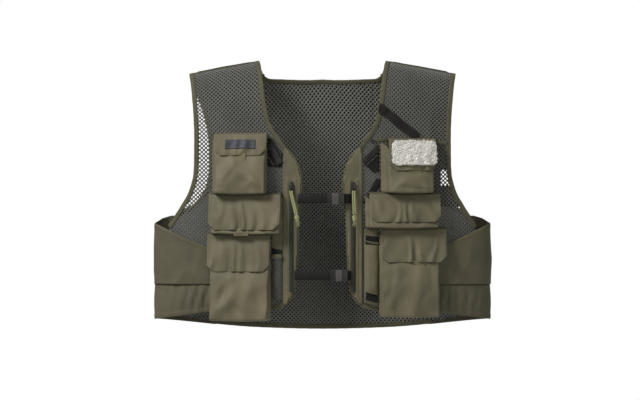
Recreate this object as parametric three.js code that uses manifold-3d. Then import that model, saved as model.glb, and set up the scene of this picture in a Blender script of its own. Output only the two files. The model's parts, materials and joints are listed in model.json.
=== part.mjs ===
// A fishing vest of knotted mesh, with six flap pockets, two zipped plackets and two buckled straps.
// Millimetres. +Z is up, the front faces -Y, and +X is the wearer's left.
// The vest stands as it is worn. The frame's origin is the middle of the hang loop at the back of the neck.
// Everything is laid out from the shell: one smooth surface that the mesh follows round the body.
// "out" is always a distance from the shell, measured away from the body.
import * as THREE from 'three';
import { mergeVertices } from 'three/addons/utils/BufferGeometryUtils.js';
import Module from 'manifold-3d';

const wasm = await Module();
wasm.setup();

// ---------------------------------------------------------------- driving dimensions

const GAP = 0.35;                  // clearance between pieces that lie on each other
const CLOTH = 2;                   // wall of every cloth layer
const FIRST = CLOTH + GAP;         // where the layer over the mesh starts
const SECOND = FIRST + CLOTH + GAP; // where pieces on that layer start

const FLAT_X = 240;                // the fronts and the back run flat out to here
const FOLD_X = 318;                // the side folds
const FRONT_Y = 77.8;              // the front's depth at the middle
const FRONT_SLOPE = 0.135;         // how fast the fronts fall back towards the sides
const BACK_Y = 60;                 // the back's depth at the middle
const BACK_CURVE = 15;             // how much less it is at FLAT_X
const SIDE_ROUND = 2.6;            // exponent of the side's superellipse
const SPRING_Z = 395;              // the shoulders start to bend over here
const RIDGE_IN = { x: 121, z: 510 }; // inner and outer ends of the shoulder's top
const RIDGE_OUT = { x: 255.5, z: 485 };
const BINDING = 9;                 // width of the tape that binds the raw edges
const WEBBING = { height: 18, thick: 1.8 };

const LEFT = 1;                    // the wearer's left is +X
const RIGHT = -1;
const nameOf = (side) => (side === LEFT ? 'left' : 'right');

// ---------------------------------------------------------------- materials

const finish = (color, roughness, metalness = 0) =>
  new THREE.MeshStandardMaterial({ color, roughness, metalness });

const LOOK = {
  mesh: finish('#6f6e62', 0.85),
  shell: finish('#67614a', 0.75),
  binding: finish('#46432f', 0.8),
  fleece: finish('#c8c5bb', 1),
  webbing: finish('#2a2723', 0.7),
  buckle: finish('#302e2a', 0.35),
  zip: finish('#3e3c32', 0.45),
  slider: finish('#3b3a36', 0.35, 0.7),
  cord: finish('#9aa05e', 0.8),
  label: finish('#23262b', 0.7),
};

const vest = new THREE.Group();

// ---------------------------------------------------------------- the shell surface

const shareOfDepth = (x) => {
  const past = Math.max(0, (Math.abs(x) - FLAT_X) / (FOLD_X - FLAT_X));
  return (1 - past ** SIDE_ROUND) ** (1 / SIDE_ROUND);
};
const frontDepth = (x) => (FRONT_Y - FRONT_SLOPE * Math.abs(x)) * shareOfDepth(x);
const backDepth = (x) => (BACK_Y - BACK_CURVE * (x / FLAT_X) ** 2) * shareOfDepth(x);
const ridgeZ = (x) =>
  RIDGE_IN.z + ((Math.abs(x) - RIDGE_IN.x) * (RIDGE_OUT.z - RIDGE_IN.z)) / (RIDGE_OUT.x - RIDGE_IN.x);

// A point of the shell: x across, and turn from -1 (front spring line) over 0 (shoulder ridge)
// to 1 (back spring line). Past -1 and 1 it runs straight down, DROP millimetres to each unit.
const DROP = 100;
function shellPoint(x, turn) {
  const bend = Math.min(Math.abs(turn), 1) * (Math.PI / 2);
  const depth = turn < 0 ? -frontDepth(x) : backDepth(x);
  const below = Math.max(0, Math.abs(turn) - 1) * DROP;
  const z = SPRING_Z + (ridgeZ(x) - SPRING_Z) * Math.cos(bend) - below;
  return new THREE.Vector3(x, depth * Math.sin(bend), z);
}

function shellNormal(x, turn) {
  const step = 1e-3;
  const across = shellPoint(x + step, turn).sub(shellPoint(x - step, turn));
  const along = shellPoint(x, turn + step).sub(shellPoint(x, turn - step));
  return across.cross(along).normalize();
}

const onShell = (x, turn, out) => shellPoint(x, turn).addScaledVector(shellNormal(x, turn), out);

// The turn of a height, on the front (side of the sign -1) or the back (1).
function turnAt(x, z, sign) {
  if (z <= SPRING_Z) return sign * (1 + (SPRING_Z - z) / DROP);
  const share = Math.min(1, (z - SPRING_Z) / (ridgeZ(x) - SPRING_Z));
  return (sign * Math.acos(share)) / (Math.PI / 2);
}

// A point of the side wrap seen from above: degrees from -90 (front) round the fold at 0 to 90 (back);
// past 90 it runs on flat, a millimetre to each degree.
function wrapPoint(degrees, out) {
  const at = (d) => {
    const angle = THREE.MathUtils.degToRad(Math.min(Math.abs(d), 90));
    const run = Math.max(0, Math.abs(d) - 90);
    const x = FLAT_X + (FOLD_X - FLAT_X) * Math.cos(angle) ** (2 / SIDE_ROUND) - run;
    const depth = d < 0 ? FRONT_SLOPE * -x + FRONT_Y : BACK_Y - BACK_CURVE * (x / FLAT_X) ** 2;
    return new THREE.Vector2(x, Math.sign(d) * depth * Math.sin(angle) ** (2 / SIDE_ROUND));
  };
  const along = at(degrees + 0.05).sub(at(degrees - 0.05)).normalize();
  return at(degrees).add(new THREE.Vector2(along.y, -along.x).multiplyScalar(out));
}

// ---------------------------------------------------------------- solids

// The same geometry as one closed surface of shared vertices, with its faces pointing out.
function closed(geometry) {
  geometry.deleteAttribute('normal');
  geometry.deleteAttribute('uv');
  const merged = mergeVertices(geometry, 1e-3);
  const index = merged.index.array;
  const p = [0, 1, 2].map(() => new THREE.Vector3());
  let volume = 0;
  for (let i = 0; i < index.length; i += 3) {
    p.forEach((point, k) => point.fromBufferAttribute(merged.attributes.position, index[i + k]));
    volume += p[0].dot(p[1].cross(p[2]));
  }
  if (volume < 0) {
    for (let i = 0; i < index.length; i += 3) [index[i], index[i + 1]] = [index[i + 1], index[i]];
  }
  return merged;
}

function toSolid(geometry) {
  const { attributes, index } = closed(geometry);
  const mesh = new wasm.Mesh({
    numProp: 3,
    vertProperties: new Float32Array(attributes.position.array),
    triVerts: new Uint32Array(index.array),
  });
  return new wasm.Manifold(mesh);
}

function fromSolid(solid) {
  const { vertProperties, triVerts } = solid.getMesh();
  const geometry = new THREE.BufferGeometry();
  geometry.setAttribute('position', new THREE.BufferAttribute(vertProperties, 3));
  geometry.setIndex(new THREE.BufferAttribute(triVerts, 1));
  return geometry;
}

// What is left of a body after the cuts, without the small offcuts that come loose.
function cut(body, ...tools) {
  const rest = tools.reduce((left, tool) => left.subtract(toSolid(tool)), toSolid(body));
  return fromSolid(rest.decompose().reduce((a, b) => (a.volume() > b.volume() ? a : b)));
}
const join = (...bodies) =>
  fromSolid(bodies.map((body) => toSolid(body)).reduce((all, body) => all.add(body)));

function mirrored(geometry) {
  return closed(geometry.clone().scale(-1, 1, 1));
}

// A piece for each side from the left one's geometry.
function addPair(name, geometry, look) {
  add(`${name}_left`, geometry, look);
  add(`${name}_right`, mirrored(geometry), look);
}

function add(name, geometry, look, parent = vest) {
  const mesh = new THREE.Mesh(closed(geometry), look);
  mesh.name = name;
  parent.add(mesh);
  return mesh;
}

// A box between two corners, in "out" and not y: out grows towards -Y.
function block([x0, x1], [out0, out1], [z0, z1]) {
  const box = new THREE.BoxGeometry(x1 - x0, out1 - out0, z1 - z0);
  return box.translate((x0 + x1) / 2, -(out0 + out1) / 2, (z0 + z1) / 2);
}

// A flat plate from an outline of [x, z] points, standing between two distances out.
function plate(outline, [out0, out1]) {
  const shape = new THREE.Shape(outline.map(([x, z]) => new THREE.Vector2(x, z)));
  const plan = new THREE.ExtrudeGeometry(shape, { depth: out1 - out0, bevelEnabled: false });
  return plan.rotateX(Math.PI / 2).translate(0, -out0, 0);
}

// A bar of one cross-section along X, from an outline of [out, z] points.
function bar(outline, [x0, x1]) {
  const shape = new THREE.Shape(outline.map(([out, z]) => new THREE.Vector2(out, z)));
  const run = new THREE.ExtrudeGeometry(shape, { depth: x1 - x0, bevelEnabled: false });
  const toSide = new THREE.Matrix4().makeBasis(
    new THREE.Vector3(0, -1, 0), new THREE.Vector3(0, 0, 1), new THREE.Vector3(1, 0, 0));
  return run.applyMatrix4(toSide).translate(x0, 0, 0);
}

// A grid of thin cells whose corners are moved by place(column, row, outer) to where they belong.
function grid(columns, rows, place) {
  const geometry = new THREE.BoxGeometry(1, 1, 1, columns, 1, rows);
  const position = geometry.attributes.position;
  for (let i = 0; i < position.count; i += 1) {
    const column = Math.round((position.getX(i) + 0.5) * columns);
    const row = Math.round((position.getZ(i) + 0.5) * rows);
    const { x, y, z } = place(column, row, position.getY(i) > 0);
    position.setXYZ(i, x, y, z);
  }
  return geometry;
}

// A layer of the shell over a range of x and turn.
function layer(xStops, turnStops, [inner, outer]) {
  return grid(xStops.length - 1, turnStops.length - 1, (column, row, isOuter) =>
    onShell(xStops[column], turnStops[row], isOuter ? outer : inner));
}

// A tape along an edge of the shell. The edge is a list of [x, z, sign] points, smoothed;
// towards is 1 or -1, the side of the edge that the tape covers.
function tape(edge, samples, towards, [from, to], [inner, outer]) {
  const knots = edge.map(([x, z, sign]) => new THREE.Vector3(x, turnAt(x, z, sign) * DROP, 0));
  const curve = new THREE.CatmullRomCurve3(knots, false, 'centripetal');
  const stops = curve.getSpacedPoints(samples).map(({ x, y }) => [x, y / DROP]);
  const points = stops.map(([x, turn]) => shellPoint(x, turn));
  return grid(2, samples, (column, row, isOuter) => {
    const before = points[Math.max(row - 1, 0)];
    const after = points[Math.min(row + 1, samples)];
    const normal = shellNormal(...stops[row]);
    const across = after.clone().sub(before).cross(normal).normalize();
    const reach = from + ((to - from) * column) / 2;
    return points[row].clone()
      .addScaledVector(across, towards * reach)
      .addScaledVector(normal, isOuter ? outer : inner);
  });
}

// Only the part of a layer inside an outline of [x, z] points, on the front (-1) or the back (1).
function trimmed(sheet, outline, sign) {
  const reach = 150;
  const prism = plate(outline, sign < 0 ? [0, reach] : [-reach, 0]);
  return fromSolid(toSolid(sheet).intersect(toSolid(prism)));
}

// A group whose own X-Z plane is the flat of one front, with its zero at the middle of the vest.
function frontFrame(side) {
  const frame = new THREE.Group();
  frame.position.y = -FRONT_Y;
  frame.rotation.z = side * Math.atan(FRONT_SLOPE);
  vest.add(frame);
  return frame;
}

// ---------------------------------------------------------------- edges of the vest, left side

const FRONT_HEM = [[204, 32.5, -1], [150, 34, -1], [92, 36, -1]];
const FRONT_EDGE = [[68, 45, -1], [56, 63, -1], [50, 84, -1], [46, 128, -1], [43, 215, -1], [39, 255, -1],
  [38, 285, -1], [46, 316, -1], [68, 346, -1], [89, 374, -1], [103, 407, -1], [111, 455, -1]];
const NECK = [[121, 510, -1], [117, 494, 1], [108, 481.5, 1], [88, 478, 1], [0, 478, 1]];
const ARMHOLE_FRONT = [[295, 196, -1], [279, 220, -1], [266, 241, -1], [256, 259, -1], [248, 285, -1],
  [245.5, 307, -1], [245, 337, -1], [245, 376, -1], [246.5, 411, -1], [250, 450, -1]];
const ARMHOLE_BACK = [[255.5, 485, -1], [247, 457, 1], [233, 420, 1], [223, 380, 1], [219, 320, 1],
  [226, 270, 1], [249, 238, 1], [278, 224, 1]];
const BACK_HEM = [[204, 5, 1], [129, -1, 1], [0, -4.5, 1]];

const otherSide = (points) => points.map(([x, z, sign]) => [-x, z, sign]).reverse();
const bothSides = (points) => [...points, ...otherSide(points.slice(0, -1))];

const COLLAR = bothSides([...FRONT_HEM, ...FRONT_EDGE, ...NECK]);
const ARMHOLE = [...ARMHOLE_FRONT, ...ARMHOLE_BACK];
const WRAPPED = [-0.5, 3];         // a binding's inner and outer faces: it wraps the edge
const CLEARED = [-3, 6];           // what is cut away for it

const collarSpace = tape(COLLAR, 72, 1, [-3, BINDING + GAP], CLEARED);
const armholeSpace = tape(ARMHOLE, 22, -1, [-3, BINDING + GAP], CLEARED);
const hemSpace = tape(bothSides(BACK_HEM), 8, -1, [-3, BINDING + GAP], CLEARED);

function addBindings() {
  add('collar_binding', tape(COLLAR, 72, 1, [0, BINDING], WRAPPED), LOOK.binding);
  addPair('armhole_binding', tape(ARMHOLE, 22, -1, [0, BINDING], WRAPPED), LOOK.binding);
  add('hem_binding', tape(bothSides(BACK_HEM), 8, -1, [0, BINDING], WRAPPED), LOOK.binding);
}

// ---------------------------------------------------------------- mesh and cloth panels

const ARCH = [1, 0.8, 0.6, 0.4, 0.2, 0.015]; // turns from the spring line to just short of the ridge
const SIDE_STOPS = [240, 262, 280, 292, 300];
const BACK_STOPS = [-180, -121, -60, 0, 60, 121, 180]; // shared by the layers of the back, so they stay parallel
const MESH = [0, CLOTH];
const LINED = [FIRST, FIRST + CLOTH];
const flat = (points) => points.map(([x, z]) => [x, z]);

function addMeshPanels() {
  const bottom = turnAt(0, 22, -1);
  const front = layer([36, 121, ...SIDE_STOPS], [bottom, ...ARCH.map((turn) => -turn)], MESH);
  const outline = [[300, 22], [300, 187], ...flat(ARMHOLE_FRONT), [256, 520], [121, 520],
    ...flat([...FRONT_HEM, ...FRONT_EDGE]).reverse(), [204, 22]];
  addPair('front_mesh', cut(trimmed(front, outline, -1), collarSpace, armholeSpace), LOOK.mesh);

  const xStops = [...SIDE_STOPS.map((x) => -x).reverse(), ...BACK_STOPS, ...SIDE_STOPS];
  const back = layer(xStops, [turnAt(0, -20, 1), ...ARCH], MESH);
  const half = [[300, 16], [300, 212], ...flat(ARMHOLE_BACK).slice(1).reverse(), [256, 520], [121, 520],
    ...flat(NECK).slice(1)];
  const hem = flat(BACK_HEM);
  const backOutline = [...half, ...half.slice(0, -1).reverse().map(([x, z]) => [-x, z]),
    ...hem.map(([x, z]) => [-x, z]), ...hem.slice(0, -1).reverse()];
  add('back_mesh', cut(trimmed(back, backOutline, 1), collarSpace, armholeSpace,
    mirrored(armholeSpace), hemSpace), LOOK.mesh);
}

// Solid cloth over the mesh of the back: a yoke across the shoulders and a large pocket below it.
function addBackPanels() {
  const xStops = [-253, ...BACK_STOPS, 253];
  const yoke = layer(xStops, [turnAt(0, 362, 1), ...ARCH], LINED);
  const armhole = flat(ARMHOLE_BACK).slice(1, 4).reverse();
  const half = [[220, 362], ...armhole, [256, 520], [121, 520], ...flat(NECK).slice(1)];
  const outline = [...half, ...half.slice(0, -1).reverse().map(([x, z]) => [-x, z])];
  add('back_yoke', cut(trimmed(yoke, outline, 1), collarSpace, armholeSpace, mirrored(armholeSpace)), LOOK.shell);

  const cargo = layer([-203, ...BACK_STOPS, 203], [turnAt(0, -20, 1), turnAt(0, 357, 1)], LINED);
  add('back_cargo_panel', cut(cargo, hemSpace), LOOK.shell);
}

// Side panel and gathered lower band: solid cloth round each side, over the mesh.
const WRAP_END = 124;              // degrees and millimetres past them, so it ends at x = 206
const BAND_TOP = 84;
const FRONT_TOP = [[206, 149], [220, 155], [251, 168], [281, 182], [318, 201]];
const BACK_TOP = [[206, 208], [262, 215], [290, 215], [306, 210], [318, 201]];

function heightAt(points, x) {
  const next = Math.max(1, points.findIndex(([px]) => px >= x));
  const [[x0, z0], [x1, z1]] = [points[next - 1], points[next]];
  return z0 + ((z1 - z0) * (Math.min(x, x1) - x0)) / (x1 - x0);
}

// The turning points of the wrap stand over those of the mesh, so that the two layers stay parallel.
const degreesAt = (x) =>
  THREE.MathUtils.radToDeg(Math.acos(((x - FLAT_X) / (FOLD_X - FLAT_X)) ** (SIDE_ROUND / 2)));

function wrap(bottomOf, topOf, [inner, outer]) {
  const half = [WRAP_END, ...SIDE_STOPS.map(degreesAt), 22];
  const stops = [...half.map((degrees) => -degrees), 0, ...half.reverse()];
  return grid(stops.length - 1, 1, (column, row, isOuter) => {
    const degrees = stops[column];
    const { x, y } = wrapPoint(degrees, isOuter ? outer : inner);
    const heightX = Math.min(wrapPoint(degrees, 0).x, FOLD_X);
    return { x, y, z: row ? topOf(heightX, degrees) : bottomOf(heightX, degrees) };
  });
}

function addSidePanels() {
  const top = (x, degrees) => heightAt(degrees < 0 ? FRONT_TOP : BACK_TOP, x);
  const hem = (x, degrees) => 17 + ((FOLD_X - x) / (FOLD_X - 206)) * (degrees < 0 ? 16 : -12.5);
  addPair('side_panel', wrap(() => BAND_TOP + GAP, top, LINED), LOOK.shell);
  addPair('side_band', wrap(hem, () => BAND_TOP, LINED), LOOK.shell);
}

// ---------------------------------------------------------------- plackets, zips and pull cords

const ZIP = { x: 58.5, width: 5, bottom: 71, top: 277, thick: 1.6 };
const SLIDER = { width: 9, height: 13, thick: 2.8 };
const BRIDGE = { width: 4, height: 8, thick: 2.7 };
const CORD = { radius: 1.6, apart: 3.6 };
const KNOT = { radius: 4.4, halfLength: 7.5 };

// The line down the middle of each pull, from the slider's eye: sideways towards the other front,
// out from the eye, and down.
const PULL_ROUTE = {
  left: [[0, 0, 0], [0, 0.4, -3], [0.1, 0.8, -6], [0.2, 1.3, -9], [0.3, 1.8, -12], [0.3, 2.2, -15],
    [0.3, 2.6, -18], [0.2, 2.9, -21], [0.1, 3.2, -24], [0, 3.5, -27], [-0.1, 3.7, -30], [-0.2, 3.9, -33],
    [-0.3, 4.1, -36], [-0.3, 4.2, -39], [-0.3, 4.3, -42], [-0.3, 4.4, -45]],
  right: [[0, 0, 0], [0.2, 0.4, -3], [0.6, 0.8, -6], [1.2, 1.3, -9], [1.9, 1.8, -12], [2.7, 2.2, -15],
    [3.5, 2.6, -18], [4.3, 2.9, -21], [5.1, 3.2, -24], [5.9, 3.5, -27], [6.7, 3.7, -30], [7.5, 3.9, -33],
    [8.2, 4.1, -36], [8.9, 4.2, -39], [9.6, 4.3, -42], [10.3, 4.4, -45]],
};

function addPlackets() {
  const outline = [[75, 56], [75, 318], [71, 352], [30, 300], [30, 80], [60, 50]];
  const sheet = layer([30, 76], [turnAt(0, 40, -1), turnAt(0, 360, -1)], LINED);
  addPair('placket', cut(trimmed(sheet, outline, -1), collarSpace), LOOK.shell);
}

function addZip(side, frame) {
  const name = nameOf(side);
  const middle = side * ZIP.x;
  const across = (width) => [middle - width / 2, middle + width / 2];
  const chainFace = SECOND + ZIP.thick;
  add(`zip_chain_${name}`, block(across(ZIP.width), [SECOND, chainFace], [ZIP.bottom, ZIP.top]), LOOK.zip, frame);

  const sliderOut = [chainFace + GAP, chainFace + GAP + SLIDER.thick];
  const bridgeOut = [sliderOut[1] - 0.5, sliderOut[1] + BRIDGE.thick];
  const foot = ZIP.top - 1 - SLIDER.height;
  add(`zip_slider_${name}`, join(
    block(across(SLIDER.width), sliderOut, [foot, foot + SLIDER.height]),
    block(across(BRIDGE.width), bridgeOut, [foot, foot + BRIDGE.height])), LOOK.slider, frame);

  const eye = new THREE.Vector3(middle, -bridgeOut[1], foot - GAP);
  addPullCord(side, frame, eye);
}

function addPullCord(side, frame, eye) {
  const name = nameOf(side);
  const points = PULL_ROUTE[name].map(([inwards, out, down]) =>
    new THREE.Vector3(eye.x - side * inwards, eye.y - out, eye.z + down));
  for (const [strand, offset] of [['inner', -side], ['outer', side]]) {
    const path = new THREE.CatmullRomCurve3(
      points.map((p) => p.clone().setX(p.x + (offset * CORD.apart) / 2)));
    const round = new THREE.Shape().absarc(0, 0, CORD.radius, 0, 2 * Math.PI);
    add(`pull_cord_${name}_${strand}`, new THREE.ExtrudeGeometry(round,
      { steps: 7, curveSegments: 4, bevelEnabled: false, extrudePath: path }), LOOK.cord, frame);
  }
  const end = points.at(-1);
  const lean = end.clone().sub(points.at(-3)).normalize();
  const knot = new THREE.SphereGeometry(1, 10, 8).scale(KNOT.radius, KNOT.halfLength, KNOT.radius);
  knot.applyQuaternion(new THREE.Quaternion().setFromUnitVectors(new THREE.Vector3(0, -1, 0), lean));
  const centre = end.clone().addScaledVector(lean, KNOT.halfLength + GAP);
  add(`pull_knot_${name}`, knot.translate(centre.x, centre.y, centre.z), LOOK.cord, frame);
}

// ---------------------------------------------------------------- pockets

// Each pocket is a wedge that hangs off the front, deeper at its foot, with its mouth under the flap.
// Sizes run outwards from the middle of the vest; "foot" is its lowest height and "top" the flap's hinge.
const WALL = 2;
const MOUTH_DROP = 16;             // the front wall stops this far below the hinge
const TOP_DEPTH = 9;               // depth of every pocket at its top
const FLAP = 2.4;                  // thickness of a flap
const POCKETS = {
  left: {
    top: { body: [109, 213], foot: 259, top: 357, depth: 26, flap: [125, 216], flapFoot: 300, tab: [161, 186] },
    middle: { body: [79, 222], foot: 192, top: 255, depth: 23, flap: [88, 224], flapFoot: 202, tab: [149, 174] },
    lower: { body: [107.5, 223], foot: 23, top: 189, depth: 30, flap: [109, 236], flapFoot: 126, tab: [169, 193] },
  },
  right: {
    top: { body: [106, 212], foot: 257, top: 367, depth: 26, flap: [105, 206], flapFoot: 329, tab: [144, 169] },
    middle: { body: [77, 214], foot: 181, top: 254, depth: 24, flap: [78, 216], flapFoot: 187, tab: [138, 166] },
    lower: { body: [97.5, 215], foot: 16, top: 178, depth: 30, flap: [99, 219], flapFoot: 108, tab: [148, 174] },
  },
};
const FLAP_CORNER = 13;            // how much of each lower corner is cut off
const TAB_DROP = 11;

function pocketBody({ body: [x0, x1], foot, top, depth }) {
  const slope = (depth - TOP_DEPTH) / (top - foot);
  const mouth = top - MOUTH_DROP;
  const frontAt = (z) => SECOND + TOP_DEPTH + (top - z) * slope;
  const outside = bar([[SECOND, foot], [frontAt(foot), foot], [frontAt(mouth), mouth], [SECOND, top - 2]], [x0, x1]);
  const above = top + 20;
  const inside = bar([[SECOND + WALL, foot + WALL], [frontAt(foot) - WALL, foot + WALL],
    [frontAt(above) - WALL, above], [SECOND + WALL, above]], [x0 + WALL, x1 - WALL]);
  return cut(outside, inside);
}

function addPocket(side, level, frame) {
  const pocket = POCKETS[nameOf(side)][level];
  const name = `${level}_${nameOf(side)}`;
  const sized = ([x0, x1]) => (side === LEFT ? [x0, x1] : [-x1, -x0]);
  add(`pocket_${name}`, pocketBody({ ...pocket, body: sized(pocket.body) }), LOOK.shell, frame);

  const lean = Math.atan((pocket.depth - TOP_DEPTH) / (pocket.top - pocket.foot));
  const hinge = new THREE.Group();
  hinge.position.set(0, -(SECOND + TOP_DEPTH + GAP), pocket.top);
  hinge.rotation.x = -lean;
  frame.add(hinge);
  const length = (pocket.top - pocket.flapFoot) / Math.cos(lean);
  const [x0, x1] = sized(pocket.flap);
  const flap = [[x0, 0], [x0, FLAP_CORNER - length], [x0 + FLAP_CORNER, -length],
    [x1 - FLAP_CORNER, -length], [x1, FLAP_CORNER - length], [x1, 0]];
  add(`flap_${name}`, plate(flap, [0, FLAP]), LOOK.shell, hinge);
  add(`tab_${name}`, block(sized(pocket.tab), [0.2, FLAP - 0.2], [-length - TAB_DROP, -length - GAP]),
    LOOK.shell, hinge);
  return hinge;
}

function addPockets(side, frame) {
  const hinges = ['top', 'middle', 'lower'].map((level) => addPocket(side, level, frame));
  if (side === LEFT) {
    add('fleece_patch', block([131, 215], [FLAP + GAP, FLAP + 6], [-47, -1]), LOOK.fleece, hinges[0]);
  } else {
    add('label_patch', block([-184, -126.5], [FLAP + GAP, FLAP + 1.4], [-25, -8]), LOOK.label, hinges[0]);
  }
}

// ---------------------------------------------------------------- tool holders on the fronts

// A flat sleeve or pouch: a shallow box open at the top, and at the foot too for a sleeve.
function sleeve(x, z, depth, openFoot) {
  const wall = 1.5;
  const inner = [z[0] + (openFoot ? -1 : wall), z[1] + 1];
  return cut(block(x, [FIRST, FIRST + depth], z),
    block([x[0] + wall, x[1] - wall], [FIRST + wall, FIRST + depth - wall], inner));
}

function addToolHolders(leftFrame, rightFrame) {
  add('tool_sleeve_left', sleeve([79, 106.5], [62, 160], 10, true), LOOK.shell, leftFrame);
  add('mesh_pouch_right', sleeve([-96.5, -76], [55, 141], 10, false), LOOK.mesh, rightFrame);
  add('tool_dock_left', plate([[79, 326], [104, 350], [108, 346], [108, 300], [100, 296], [79, 312]], LINED),
    LOOK.webbing, leftFrame);
  add('tool_dock_right', plate([[-105, 308], [-105, 362], [-96, 362], [-77, 334], [-77, 308]], LINED),
    LOOK.webbing, rightFrame);
  add('shoulder_strap_left', plate([[117, 404], [129, 416], [187, 371], [175, 359]], LINED), LOOK.webbing, leftFrame);
}

// ---------------------------------------------------------------- straps and buckles

// Seen from above, a strap lies on each placket and runs straight between them in front of the gap.
const STRAP_OUT = 5.7;             // middle of the webbing where it lies on the placket
const STRAP_Y = -81.7;             // middle of the webbing where it runs straight
const BUCKLE = { height: 22, depth: 9, length: 22.6, baseLength: 9, prong: 15, tip: 3, wall: 2 };
const STRAPS = {
  chest: { z: 247.5, socketEnd: 41, rightEnd: -46, bendX: -26 },
  waist: { z: 101.5, socketEnd: 47.5, rightEnd: -53, bendX: -28 },
};

function webbing(route, z) {
  const points = route.map(([x, y]) => new THREE.Vector2(x, y));
  const edge = (sign) => points.map((point, i) => {
    const before = points[Math.max(i - 1, 0)];
    const after = points[Math.min(i + 1, points.length - 1)];
    const along = after.clone().sub(before).normalize();
    return point.clone().add(new THREE.Vector2(-along.y, along.x).multiplyScalar((sign * WEBBING.thick) / 2));
  });
  const shape = new THREE.Shape([...edge(-1), ...edge(1).reverse()]);
  const run = new THREE.ExtrudeGeometry(shape, { depth: WEBBING.height, bevelEnabled: false });
  return run.translate(0, 0, z - WEBBING.height / 2);
}

function addStrap(name, { z, socketEnd, rightEnd, bendX }) {
  const onPlacket = (x) => [x, -(FRONT_Y - FRONT_SLOPE * Math.abs(x)) - STRAP_OUT];
  const socketStart = socketEnd - BUCKLE.length;
  const baseStart = socketStart - BUCKLE.baseLength - GAP;
  add(`${name}_strap_right`, webbing([onPlacket(rightEnd), onPlacket(bendX - 12), [bendX, STRAP_Y],
    [socketStart - 7, STRAP_Y]], z), LOOK.webbing);
  add(`${name}_strap_left`, webbing([[socketEnd - 4, STRAP_Y], [socketEnd + 1, STRAP_Y], onPlacket(socketEnd + 6),
    onPlacket(53.5)].filter(([x], i, all) => i === 0 || x > all[i - 1][0] + 0.4), z), LOOK.webbing);

  const zSpan = (height) => [z - height / 2, z + height / 2];
  const outSpan = (depth) => [-STRAP_Y - depth / 2, -STRAP_Y + depth / 2];
  const slot = (x) => block(x, outSpan(WEBBING.thick + 2 * GAP), zSpan(WEBBING.height + 2 * GAP));

  const socket = block([socketStart, socketEnd], outSpan(BUCKLE.depth), zSpan(BUCKLE.height));
  const cavity = block([socketStart - 1, socketEnd - 5], outSpan(BUCKLE.depth - 2 * BUCKLE.wall),
    zSpan(BUCKLE.height - 2 * BUCKLE.wall));
  const windows = block([socketStart + 7, socketStart + 14], outSpan(BUCKLE.depth - 2 * BUCKLE.wall),
    zSpan(BUCKLE.height + 2));
  add(`${name}_buckle_socket`, cut(socket, cavity, windows, slot([socketEnd - 6, socketEnd + 1])), LOOK.buckle);

  const reach = BUCKLE.height - 2 * BUCKLE.wall - 2 * GAP;
  const thick = BUCKLE.depth - 2 * BUCKLE.wall - 2 * GAP;
  const baseEnd = socketStart - GAP;
  const prongs = block([baseEnd - 2, socketStart + BUCKLE.prong], outSpan(thick), zSpan(reach));
  const between = block([baseEnd, socketStart + BUCKLE.prong + 1], outSpan(thick + 1), zSpan(reach - 8));
  const base = block([baseStart, baseEnd], outSpan(BUCKLE.depth - 1.5), zSpan(BUCKLE.height));
  // The webbing's slot runs on through the prongs, so that the plug can slide back along the webbing.
  const slotEnd = socketStart + BUCKLE.prong - BUCKLE.tip;
  add(`${name}_buckle_plug`, cut(join(base, cut(prongs, between)), slot([baseStart - 1, slotEnd])), LOOK.buckle);
}

// ---------------------------------------------------------------- hang loop and origin

const LOOP = { z: 452, width: 12, height: 40, stand: 13, thick: 2 };

function addHangLoop() {
  const turn = turnAt(0, LOOP.z, 1);
  const base = SECOND + GAP;
  const frame = new THREE.Group();
  frame.position.copy(shellPoint(0, turn));
  frame.rotation.x = Math.asin(shellNormal(0, turn).z);
  vest.add(frame);
  const half = LOOP.height / 2;
  const ring = (inset) => [[-base - inset, inset - half], [-base - LOOP.stand + inset, inset + 4 - half],
    [-base - LOOP.stand + inset, half - inset - 4], [-base - inset, half - inset]];
  const x = LOOP.width / 2;
  add('hang_loop', cut(bar(ring(0), [-x, x]), bar(ring(LOOP.thick), [-x - 1, x + 1])), LOOK.webbing, frame);
  const middle = base + LOOP.stand / 2;
  return onShell(0, turn, middle);
}

// ---------------------------------------------------------------- the whole vest

addMeshPanels();
addBackPanels();
addSidePanels();
addBindings();
addPlackets();
const leftFront = frontFrame(LEFT);
const rightFront = frontFrame(RIGHT);
for (const [side, frame] of [[LEFT, leftFront], [RIGHT, rightFront]]) {
  addZip(side, frame);
  addPockets(side, frame);
}
addToolHolders(leftFront, rightFront);
for (const [name, strap] of Object.entries(STRAPS)) addStrap(name, strap);
vest.position.copy(addHangLoop()).negate();

export default vest;
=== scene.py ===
"""The looks of a mesh fishing vest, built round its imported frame. Metres; the front faces -Y."""

import json
import math
import random

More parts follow.
